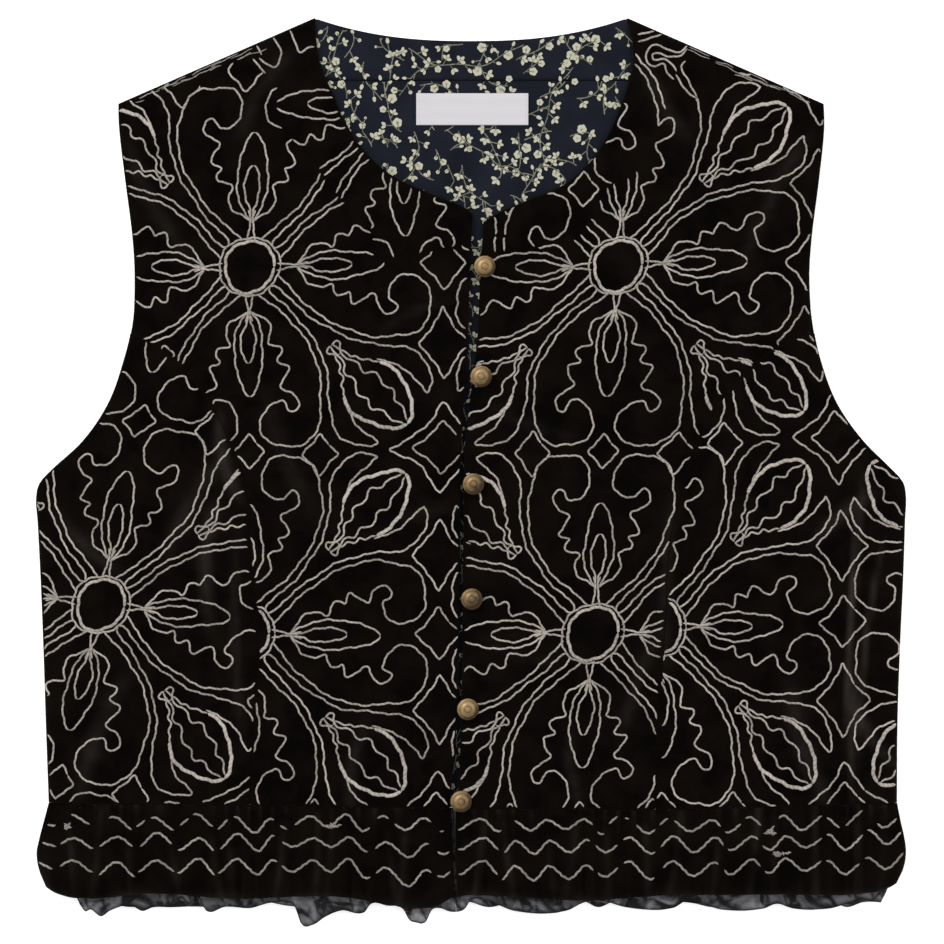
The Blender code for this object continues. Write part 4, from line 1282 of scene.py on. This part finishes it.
def back_frill_threads():
    """The wavy rows on the underside of the back frill, level with the back's own stitching."""

    def ends_at(level):
        return curve(FLARE, "right", level) + 4, curve(FLARE, "left", level) - 4

    runs = []
    for line in wavy_rows(np.random.default_rng(SEED + 9), ends_at, back_frill_hem_y, 80, 1.4):
        drop = np.clip(drop_at(line, back_frill_hem_y), 0, 1)
        z = back_frill_wave(line[:, 0], drop) + STYLES["back"][1]
        runs.append((np.column_stack([line, z]), STYLES["back"]))
    return runs


def net_cloth(z, ends, hem, seed):
    """A net frill: fine, crumpled and lifted in its own small folds; fold is how opaque it lies and how much
    painted shade darkens it.
    """
    outer, inner = ends
    drop = np.unique(np.concatenate([np.linspace(0, 0.8, 9), np.linspace(0.8, 1, 20)]))[:, None]
    width = abs(float(outer(0.0) - inner(0.0)))
    across = np.linspace(0, 1, round(width / NET_CELL) + 1)[None, :]
    x = outer(drop) * (1 - across) + inner(drop) * across
    top = frill_top_y(x)
    y = top + (hem(x) - top) * drop
    wave = NET_WAVE * np.cos(gather_phase(x, GATHERS_NET))
    crumple = 0.5 * np.sin(x / 1.9 + 2.2 * np.sin(y / 3.1 + seed))
    crumple = crumple * np.sin(y / 2.7 + 1.5 * np.sin(x / 4.3 + seed))
    middle = z + wave + 0.5 + (crumple + 0.3) * eased(drop - 0.82, 0.14)
    hem_fold = bell((1 - drop) * NET_DEPTH, 1.7) * 0.97
    crease = 0.97 * np.clip(np.sin(x / 2.6 + 2.4 * np.sin(x / 7.7 + seed) + y / 5) - 0.75, 0, 1) / 0.25
    fold = np.maximum(hem_fold, crease).ravel()
    values = {"fold": np.concatenate([fold, fold])}
    return joined(x, y, middle + NET_WALL / 2), joined(x, y, middle - NET_WALL / 2), values


def back_sides(y, inset_side, inset_armhole):
    """The two side edges of a back layer by height, moved in by the insets."""
    inset = np.where(y < UNDERARM_Y + 1, inset_side, inset_armhole)
    return silhouette("right", y) + inset, silhouette("left", y) - inset


def back_grid(rows, columns):
    """x and y of the back velvet: level rows that bend up to meet the shoulders and the neck."""
    share = np.linspace(0, 1, rows + 1)[:, None]
    across = np.linspace(0, 1, columns + 1)[None, :]
    foot = waist(BODY_HALF_WIDTH)
    side_y = foot + (SHOULDER_TIP_Y - foot) * share
    right, left = back_sides(side_y, 0.0, 0.0)
    x = right * (1 - across) + left * across
    top_x = SHOULDER_TIP_X * (2 * across - 1)
    shoulder = SHOULDER_TIP_Y + (SHOULDER_TIP_X - np.abs(top_x)) * SHOULDER_SLOPE
    top_y = np.where(np.abs(top_x) < NECK_POINT_X, back_neck(top_x), shoulder)
    sag = (waist(x) - foot) * (1 - share) ** 3
    return x, side_y + (top_y - SHOULDER_TIP_Y) * share**3 + sag


def lining_grid(low, high, rows, columns):
    """x and y of the lining: level rows cut off by the armholes and the shoulders."""
    height = np.linspace(low, high, rows + 1)[:, None]
    right, left = back_sides(height, LINING_SIDE_INSET, LINING_ARMHOLE_INSET)
    shoulder = LINING_TIP_X - (height - LINING_TIP_Y) / SHOULDER_SLOPE
    right = np.where(height > LINING_TIP_Y, np.maximum(right, -shoulder), right)
    left = np.where(height > LINING_TIP_Y, np.minimum(left, shoulder), left)
    across = np.linspace(0, 1, columns + 1)[None, :]
    return right * (1 - across) + left * across, np.repeat(height, columns + 1, axis=1)


def facing_grid(columns, rows):
    """x and y of the neck facing: from its seam up to the neck curve and the shoulders.

    Beside the neck points it ends where the front's neck edge covers it.
    """
    seam = FACING_SEAM_Y + SEAM_GAP / 2
    low_x = LINING_TIP_X - (seam - LINING_TIP_Y) / SHOULDER_SLOPE
    corner = np.arange(NECK_POINT_X - 2, NECK_POINT_X + 5, 0.5)
    x = np.unique(np.concatenate([np.linspace(-low_x, low_x, columns + 1), corner, -corner]))[None, :]
    limit = LINING_TIP_Y + (LINING_TIP_X - np.abs(x)) * SHOULDER_SLOPE
    edge_y = np.linspace(NECK_POINT_Y - 12, NECK_POINT_Y, 80)
    edge_x = np.abs(np.where(x[0, :, None] < 0, front_edge("right", edge_y), front_edge("left", edge_y)))
    covered_y = np.where(edge_x + FACING_EDGE >= np.abs(x[0, :, None]), edge_y, 0.0).max(axis=1)[None, :]
    inside = np.minimum(back_neck(np.clip(x, -NECK_POINT_X, NECK_POINT_X)), covered_y) - FACING_EDGE
    top = np.where(np.abs(x) <= NECK_POINT_X, inside, np.maximum(np.minimum(inside, NECK_POINT_Y), limit))
    up = np.linspace(0, 1, rows + 1)[:, None]
    return np.repeat(x, rows + 1, axis=0), seam + (np.maximum(top, seam + 0.15) - seam) * up


def lining_z(x, y):
    """The lining's face: almost flat, with a soft ripple, never proud of the label."""
    ripple = 0.12 * np.sin(x / 17 + 1.2 * np.sin(y / 26)) + 0.08 * np.sin(y / 13 + x / 41)
    return LINING_Z + LINING_WALL - 0.2 + ripple


def stem_from(rng, root, heading, length, curl):
    """One printed stem and its heading at each point: it turns evenly and sways a little."""
    run = np.arange(0, length, 0.8)
    angle = heading + curl * run / length + 0.25 * np.sin(run / 4.5 + rng.uniform(0, 6))
    line = root + np.cumsum(np.column_stack([np.cos(angle), np.sin(angle)]), axis=0) * 0.8
    return line, angle


def sprig_roots(rng):
    """Where the print's stems start: a jittered lattice, three long ones, and a row in the opening's gap."""
    roots = []
    for row, y in enumerate(np.arange(112, 250, 19.0)):
        for x in np.arange(-100, 101, 21.0) + 10 * (row % 2):
            roots.append((x, y, rng.uniform(0, 2 * np.pi), rng.uniform(16, 32), rng.uniform(-1.5, 1.5)))
    roots += [(-34, 236, -0.6, 70, 1.3), (-6, 190, -0.9, 52, 0.7), (58, 224, -2.3, 60, 0.9)]
    for y in np.arange(-184, 118, 15.0):
        middle = (through(y, OPENING["y"], OPENING["right"]) + through(y, OPENING["y"], OPENING["left"])) / 2
        roots.append((float(middle), y, np.pi / 2 + rng.uniform(-0.3, 0.3), 12, rng.uniform(-0.5, 0.5)))
    return roots


def sprigs(rng):
    """Stems, blossoms, trefoils and berries of the print, grown from the roots and kept clear of each other.

    Short stems then grow wherever no mark lies near. A mark is x, y, size, angle and whether it is a petal.
    """
    roots = sprig_roots(rng)
    for y in np.arange(110, 250, 8.5):
        for x in np.arange(-98, 99, 8.5):
            roots.append((x, y, rng.uniform(0, 2 * np.pi), 0, rng.uniform(-1, 1)))
    stems, marks = [], np.empty((0, 5))
    for x, y, heading, length, curl in roots:
        root = np.array([x, y]) + rng.uniform(-2, 2, 2)
        if length == 0 and np.hypot(marks[:, 0] - root[0], marks[:, 1] - root[1]).min() < 6.4:
            continue
        line, angle = stem_from(rng, root, heading, length or 10.0, curl)
        stems.append((line, 0.27))
        side = 1
        for at in range(2, len(line), 5):
            side = -side
            turn = angle[at] + side * rng.uniform(0.5, 1.1)
            tip = line[at] + rng.uniform(2.0, 5.0) * np.array([math.cos(turn), math.sin(turn)])
            petals = rng.choice([0, 1, 2, 3], p=[0.3, 0.12, 0.2, 0.38])
            size = rng.uniform(1.1, 1.45) if petals else rng.choice([0.8, 1.1, 1.9, 2.3, 2.7])
            clear = size * (1.1 if petals else 0.75)
            gaps = np.hypot(marks[:, 0] - tip[0], marks[:, 1] - tip[1]) - marks[:, 2]
            if len(marks) and gaps.min() < clear:
                continue
            stems.append((np.linspace(line[at], tip, 5), 0.22))
            if not petals:
                marks = np.vstack([marks, (*tip, size, turn, 0)])
                continue
            for lean in (np.arange(petals) - (petals - 1) / 2) * 1.25:
                middle = tip + 1.15 * size * np.array([math.cos(turn + lean), math.sin(turn + lean)])
                marks = np.vstack([marks, (*middle, size, turn + lean, 1)])
    return stems, marks


def in_print_area(x, y):
    """True where the print lies on the lining or its facing, clear of their edges."""
    in_lining = (y > -181) & (y < FACING_SEAM_Y - 0.5)
    in_facing = (y > FACING_SEAM_Y + 0.5) & (y < back_neck(x) - 1.6)
    within = (np.abs(x) < NECK_INSIDE_X) | (from_shoulder(x, y) > 9.5)
    return (in_lining | in_facing) & (np.abs(x) < 100) & within


def print_mesh(rng):
    """The print as flat shapes just above the lining: strips for stems, lobed fans and pointed ovals."""
    stems, marks = sprigs(rng)
    points, inks, quads, fans = [], [], [], []
    offset = 0
    for line, half in stems:
        for a, b in runs_within(in_print_area(line[:, 0], line[:, 1]), 3):
            part = line[a:b]
            aside = beside(part) * half
            index = np.arange(len(part) * 2).reshape(-1, 2) + offset
            quads.append(joined(index[:-1, 0], index[:-1, 1], index[1:, 1], index[1:, 0]))
            points.append(np.stack([part + aside, part - aside], axis=1).reshape(-1, 2))
            inks.append(np.full(len(part) * 2, 0.2))
            offset += len(part) * 2
    turn = np.linspace(0, 2 * np.pi, 20, endpoint=False)
    oval = np.linspace(0, 2 * np.pi, 10, endpoint=False)
    lobed = 0.84 + 0.18 * np.abs(np.cos(2.5 * turn))
    petal = marks[:, 4] > 0.5
    shapes = (
        (marks[~petal], lobed * np.cos(turn), lobed * np.sin(turn), 1.0, 0.35),
        (marks[petal], 1.15 * np.cos(oval), 0.72 * np.sin(oval) * (1 - 0.2 * np.cos(oval)), 0.85, 0.85),
    )
    for chosen, shape_x, shape_y, ink, ink_middle in shapes:
        chosen = chosen[in_print_area(chosen[:, 0], chosen[:, 1])]
        x, y, size, angle = (column[:, None] for column in chosen.T[:4])
        ring_x = x + size * (shape_x * np.cos(angle) - shape_y * np.sin(angle))
        ring_y = y + size * (shape_x * np.sin(angle) + shape_y * np.cos(angle))
        around = len(shape_x)
        base = offset + np.arange(len(chosen))[:, None] * (around + 1)
        step = np.arange(around)
        fan = joined(base + step, base + np.roll(step, -1), np.broadcast_to(base + around, ring_x.shape))
        fans.append(fan.reshape(-1, 3))
        points.append(np.concatenate([joined(ring_x, ring_y), joined(x, y)], axis=1).reshape(-1, 2))
        inks.append(np.tile(np.append(np.full(around, ink), ink_middle), len(chosen)))
        offset += len(chosen) * (around + 1)
    flat = np.concatenate(points)
    z = lining_z(flat[:, 0], flat[:, 1]) + PRINT_LIFT
    values = {"ink": np.concatenate(inks)}
    return np.column_stack([flat, z]), [np.concatenate(quads), np.concatenate(fans)], values


def turned(radii, heights, segments, beads):
    """A shape turned about its own axis, closed at both poles; beads raise small bumps round its rim."""
    angle = np.linspace(0, 2 * np.pi, segments, endpoint=False)
    radius = radii[1:-1, None] * np.ones(segments)
    height = heights[1:-1, None] + beads(radius, angle[None, :])
    rings = joined(radius * np.cos(angle), radius * np.sin(angle), height)
    count = len(radii) - 2
    poles = np.array([[0, 0, heights[0]], [0, 0, heights[-1]]])
    index = np.arange(count * segments).reshape(count, segments)
    ahead = np.roll(index, -1, axis=1)
    quads = joined(index[:-1], ahead[:-1], ahead[1:], index[1:]).reshape(-1, 4)
    first = np.full(segments, count * segments)
    low = joined(first, ahead[0], index[0])
    high = joined(first + 1, index[-1], ahead[-1])
    return np.concatenate([rings.reshape(-1, 3), poles]), [quads, np.concatenate([low, high])]


BUTTON_BEADS = 26
BUTTON_SEGMENTS = 78
BUTTON_PROFILE = table(
    "radius height worn",
    (0.0, 0.0, 0.0), (1.25, 0.0, 0.0), (1.25, 1.0, 0.0), (2.6, 1.15, 0.1), (4.8, 1.25, 0.2), (5.6, 1.6, 0.4),
    (5.95, 2.05, 0.6), (6.0, 2.45, 0.75), (5.85, 2.9, 0.7), (5.55, 3.2, 0.6), (5.2, 3.38, 0.4),
    (4.95, 3.48, 0.25), (4.7, 3.66, 0.35), (4.4, 4.0, 0.7), (3.9, 4.45, 0.85), (3.3, 4.78, 0.85),
    (2.7, 5.0, 0.8), (2.2, 5.1, 0.65), (2.0, 5.1, 0.45), (1.7, 5.1, 0.4), (1.45, 5.14, 0.55),
    (1.1, 5.24, 0.8), (0.6, 5.34, 0.9), (0.0, 5.38, 0.9),
)


def button_mesh(number, x, y, tone):
    """A domed stamped button: beaded rim, a groove, a smooth dome, and a raised dot in a ring.

    It is painted lighter towards the neck and the wearer's right, and darker towards the hem and the
    wearer's left: painted light and shade from the lamp above left.
    """

    def beads(radius, angle):
        return 0.16 * np.cos(BUTTON_BEADS * angle) * bell(radius - 5.6, 0.35)

    points, faces = turned(BUTTON_PROFILE["radius"], BUTTON_PROFILE["height"], BUTTON_SEGMENTS, beads)
    worn = np.repeat(BUTTON_PROFILE["worn"][1:-1], BUTTON_SEGMENTS)
    worn = np.concatenate([worn, BUTTON_PROFILE["worn"][[0, -1]]])
    # painted light and shade: lighter towards the lamp above left, darker away from it
    painted_light_slope = (points[:, 0] - points[:, 1]) / 12
    wear_and_painted_light = 0.55 * worn * (0.4 + 0.6 * tone) - 0.15 - 0.1 * (1 - tone) - 0.5 * painted_light_slope
    foot_z = float(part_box(f"button_{number}")[0][2]) / MM
    return points + np.array([x, y, foot_z]), faces, {"worn": wear_and_painted_light}


def stitched_velvet(node, top, under, glow, runs):
    """A velvet piece of the front and the thread on it; its underside has no painted sheen."""
    values = {"glow": np.concatenate([glow.ravel(), np.zeros(glow.size)])}
    piece = cloth_piece(f"velvet_{node}", node, "velvet", top, under, values)
    stitched = thread_piece(f"stitching_{node}", runs)


def colour_property(name, description, code):
    return bpy.props.FloatVectorProperty(
        name=name, description=description, default=hex_colour(code), size=3, subtype="COLOR"
    )


class VestSizes(bpy.types.PropertyGroup):
    """Sizes that a user would change."""

    thread_width: bpy.props.FloatProperty(
        name="Thread Width", description="Width of a plain line of stitches", default=0.0013, unit="LENGTH"
    )


class VestColours(bpy.types.PropertyGroup):
    """Colours and sheen that a user would change."""

    velvet_sheen: bpy.props.FloatProperty(
        name="Velvet Sheen", description="Glow of the pile", default=0.22, min=0, max=1, subtype="FACTOR"
    )
    velvet_colour: colour_property("Velvet", "Colour of the pile", "#060404")
    thread_colour: colour_property("Thread", "Colour of the stitches", "#9d968d")
    lining_colour: colour_property("Lining", "Colour of the lining", "#191b23")
    print_colour: colour_property("Print", "Colour of the printed sprigs", "#a7a592")
    label_colour: colour_property("Label", "Colour of the bare label", "#c1bec2")
    net_colour: colour_property("Net", "Colour of the net frill", "#29292b")
    brass_colour: colour_property("Brass", "Colour of the worn brass", "#b89a6c")


class VEST_OT_back(bpy.types.Operator):
    """Makes the velvet back and the velvet frill below it"""

    bl_idname = "vest.back"
    bl_label = "Back"

    def execute(self, context):
        x, y = back_grid(BACK_ROWS, BACK_COLUMNS)
        inside = within_rim(x)
        hollow = 0.35 - 0.25 * inside * (0.5 + 0.5 * np.sin(x / 23 + 1.4 * np.sin(y / 37)))
        top = joined(x, y, np.full_like(x, BACK_WALL - 0.02) - 0.25 * (1 - inside))
        back = cloth_piece("velvet_back", "back_velvet", "velvet", top, joined(x, y, hollow))
        top, under = back_frill_cloth()
        frill = cloth_piece("velvet_frill_back", "ruffle_back", "velvet", top, under)
        return {"FINISHED"}


class VEST_OT_lining(bpy.types.Operator):
    """Makes the printed lining and the neck facing above it"""

    bl_idname = "vest.lining"
    bl_label = "Lining"

    def execute(self, context):
        points, faces, inks = print_mesh(np.random.default_rng(SEED))
        sprig = new_piece("print_of_lining", points, faces, "print", (), inks)
        lining = lining_grid(LINING_FOOT_Y, FACING_SEAM_Y - SEAM_GAP / 2, 120, 90)
        grids = (
            ("lining_of_back", "back_lining", lining, [sprig]),
            ("facing_of_neck", "back_neck_facing", facing_grid(70, 12), []),
        )
        for name, node, (x, y), on_it in grids:
            top = joined(x, y, lining_z(x, y) - 0.3 * (1 - within_rim(x)))
            piece = cloth_piece(name, node, "lining", top, joined(x, y, np.full_like(x, LINING_Z + 0.1)))
        return {"FINISHED"}


class VEST_OT_label(bpy.types.Operator):
    """Makes the bare woven label and the stitches that hold it"""

    bl_idname = "vest.label"
    bl_label = "Label"

    def execute(self, context):
        def stations(low, high, count):
            """Even stations from low to high, with finer ones in both folded edges."""
            near = np.array([0, 0.12, 0.4])
            return np.concatenate([low + near, np.linspace(low + 1, high - 1, count), high - near[::-1]])

        right = LABEL_LEFT_X + LABEL_WIDTH
        low = LABEL_TOP_Y - LABEL_HEIGHT
        x, y = np.meshgrid(stations(LABEL_LEFT_X, right, 50), stations(low, LABEL_TOP_Y, 16))
        from_side = np.minimum(x - LABEL_LEFT_X, right - x)
        from_end = np.minimum(y - low, LABEL_TOP_Y - y)
        edge = eased(np.minimum(from_side, from_end), 0.5)
        folded = 0.22 * (1 - eased(from_side - 4.5, 0.8))
        wave = 0.1 * np.sin(x / 11 + 0.6) * eased(from_side, 10)
        top = joined(x, y, LABEL_Z + 0.35 + 0.3 * edge + folded + wave)
        under = joined(x, y, np.full_like(x, LABEL_Z + 0.05))
        label = cloth_piece("label_woven_bare", "neck_label", "label", top, under)
        runs = []
        for at_x in (LABEL_LEFT_X + 1.6, right - 1.6):
            for start in np.arange(low + 1.0, LABEL_TOP_Y - 1.5, 2.4):
                stitch_y = start + np.linspace(0, 1.5, 5)
                stitch_z = np.full(5, LABEL_Z + 0.35 + 0.3 + 0.2)
                runs.append((joined(np.full(5, at_x), stitch_y, stitch_z), STYLES["label"]))
        stitches = thread_piece("stitches_of_label", runs, "label")
        return {"FINISHED"}


class VEST_OT_fronts(bpy.types.Operator):
    """Makes the four velvet pieces of the front with the thread stitched on them"""

    bl_idname = "vest.fronts"
    bl_label = "Fronts"

    def execute(self, context):
        for side in ("right", "left"):
            for kind, grid in (("centre", centre_front_grid), ("side", side_front_grid)):
                x, y, distance = grid(side)
                top = joined(x, y, velvet_top(x, y, distance))
                under = joined(x, y, velvet_under(x, y, distance))
                glow = crease_fields(x, y)[1]
                runs = front_threads(kind, side)
                stitched_velvet(f"front_{kind}_{side}", top, under, glow, runs)
        return {"FINISHED"}


class VEST_OT_back_stitching(bpy.types.Operator):
    """Stitches the same repeat on the underside of the back"""

    bl_idname = "vest.back_stitching"
    bl_label = "Back Stitching"

    def execute(self, context):
        x, y = back_grid(BACK_ROWS, BACK_COLUMNS)
        rim = [joined(x[k], y[k]) for k in (0, -1)] + [joined(x[:, k], y[:, k]) for k in (0, -1)]
        outline = np.concatenate(rim).astype(np.float32)

        def on_back(line):
            right, left = back_sides(line[:, 1], 0.0, 0.0)
            in_neck = (line[:, 1] > back_neck(line[:, 0])) & (np.abs(line[:, 0]) < NECK_POINT_X)
            mask = (line[:, 0] > right) & (line[:, 0] < left) & (line[:, 1] > waist(line[:, 0]))
            mask = mask & (from_shoulder(line[:, 0], line[:, 1]) > 0) & ~in_neck
            if mask.any():
                mask[mask] = nearest(line[mask].astype(np.float32), outline) > BACK_STITCH_CLEAR
            return mask

        runs = []
        box = outline.min(axis=0), outline.max(axis=0)
        for line, _ in pattern_on("back", BACK_THREAD_STEP, on_back, box):
            runs.append((np.column_stack([line, np.full(len(line), STYLES["back"][1])]), STYLES["back"]))
        thread_piece("stitching_back", runs + back_frill_threads(), upward=-1)
        return {"FINISHED"}


class VEST_OT_frills(bpy.types.Operator):
    """Makes the gathered velvet frill at the waist with its wavy stitches"""

    bl_idname = "vest.frills"
    bl_label = "Front Frills"

    def execute(self, context):
        for side in ("right", "left"):
            top, under, glow = frill_cloth(side)
            node = f"ruffle_front_{side}"
            runs = frill_threads(side)
            stitched_velvet(node, top, under, glow, runs)
        return {"FINISHED"}


class VEST_OT_nets(bpy.types.Operator):
    """Makes the net frills that show below the velvet ones"""

    bl_idname = "vest.nets"
    bl_label = "Net Frills"

    def execute(self, context):
        def edge(stations, side, shift=0.0):
            return lambda drop: curve(stations, side, drop) + shift

        def front_hem(x):
            return curve(NET_HEM, "y", x)

        def back_hem(x):
            return BACK_NET_HEM_Y + 1.5 * np.cos(gather_phase(x, 11))

        right_side = edge(FLARE, "right", NET_SIDE_INSET)
        left_side = edge(FLARE, "left", -NET_SIDE_INSET_LEFT)
        rows = (
            ("back", BACK_NET_Z, (right_side, left_side), back_hem, 1.0),
            ("front_right", FRONT_NET_Z, (right_side, edge(FRILL_OPENING, "right", 0.75)), front_hem, 2.0),
            ("front_left", FRONT_NET_Z, (left_side, edge(FRILL_OPENING, "left", -0.55)), front_hem, 3.0),
        )
        for place, z, ends, hem, seed in rows:
            top, under, values = net_cloth(z, ends, hem, seed)
            piece = cloth_piece(f"net_frill_{place}", f"net_ruffle_{place}", "net", top, under, values)
        return {"FINISHED"}


class VEST_OT_buttons(bpy.types.Operator):
    """Makes the six brass buttons"""

    bl_idname = "vest.buttons"
    bl_label = "Buttons"

    def execute(self, context):
        for number, (x, y, tone) in enumerate(zip(*BUTTONS.values()), start=1):
            points, faces, values = button_mesh(number, x, y, tone)
            new_piece(f"brass_button_{number}", points, faces, "brass", [f"button_{number}"], values)
        return {"FINISHED"}


class VEST_OT_stage(bpy.types.Operator):
    """Makes the white floor, the soft studio light and the camera above the vest"""

    bl_idname = "vest.stage"
    bl_label = "Stage"

    def execute(self, context):
        scene = context.scene
        mesh = bpy.data.meshes.new("floor")
        signs = ((-1, -1), (1, -1), (1, 1), (-1, 1))
        corners = [(x * FLOOR_HALF, y * FLOOR_HALF, FLOOR_Z) for x, y in signs]
        mesh.from_pydata(corners, [], [(0, 1, 2, 3)])
        mesh.materials.append(floor_look())
        floor = bpy.data.objects.new("floor", mesh)
        scene.collection.objects.link(floor)
        world = bpy.data.worlds.new("white_studio")
        world.use_nodes = True
        world.node_tree.nodes["Background"].inputs["Color"].default_value = (1, 1, 1, 1)
        world.node_tree.nodes["Background"].inputs["Strength"].default_value = 0.85
        scene.world = world
        lamps = (
            ("light_above_left", (-1.3, 1.5, 2.2), 34.0, 1.4),
            ("light_above_right", (1.6, 0.6, 2.0), 14.0, 1.6),
        )
        for name, place, power, size in lamps:
            lamp = bpy.data.lights.new(name, "AREA")
            lamp.energy = power
            lamp.size = size
            made = bpy.data.objects.new(name, lamp)
            made.location = place
            direction = -made.location
            made.rotation_euler = direction.to_track_quat("-Z", "Y").to_euler()
            scene.collection.objects.link(made)
        lens = bpy.data.cameras.new("camera")
        lens.sensor_width = 36.0
        lens.lens = 165.9
        lens.clip_end = 50.0
        camera = bpy.data.objects.new("camera", lens)
        camera.location = (0.00055, -0.00055, 2.408)
        scene.collection.objects.link(camera)
        scene.camera = camera
        scene.view_settings.view_transform = "Standard"
        scene.view_settings.look = "None"
        return {"FINISHED"}


class VEST_PT_panel(bpy.types.Panel):
    """Lists the vest's pieces in the sidebar"""

    bl_label = "Vest"
    bl_idname = "VEST_PT_panel"
    bl_space_type = "VIEW_3D"
    bl_region_type = "UI"
    bl_category = "Vest"

    def draw(self, context):
        layout = self.layout
        for group in (context.scene.vest_sizes, context.scene.vest_colours):
            for name in group.__annotations__:
                layout.prop(group, name)
        for operator in OPERATORS:
            layout.operator(operator.bl_idname)


OPERATORS = (
    VEST_OT_stage,
    VEST_OT_back,
    VEST_OT_lining,
    VEST_OT_label,
    VEST_OT_fronts,
    VEST_OT_frills,
    VEST_OT_nets,
    VEST_OT_buttons,
    VEST_OT_back_stitching,
)
CLASSES = (VestSizes, VestColours, *OPERATORS, VEST_PT_panel)


def register():
    for made in CLASSES:
        bpy.utils.register_class(made)
    bpy.types.Scene.vest_sizes = bpy.props.PointerProperty(type=VestSizes)
    bpy.types.Scene.vest_colours = bpy.props.PointerProperty(type=VestColours)


def unregister():
    del bpy.types.Scene.vest_colours
    del bpy.types.Scene.vest_sizes
    for made in reversed(CLASSES):
        bpy.utils.unregister_class(made)


def main():
    register()
    bpy.ops.vest.stage()
    bpy.ops.vest.back()
    bpy.ops.vest.lining()
    bpy.ops.vest.label()
    bpy.ops.vest.fronts()
    bpy.ops.vest.frills()
    bpy.ops.vest.nets()
    bpy.ops.vest.buttons()
    bpy.ops.vest.back_stitching()


if __name__ == "__main__":
    main()
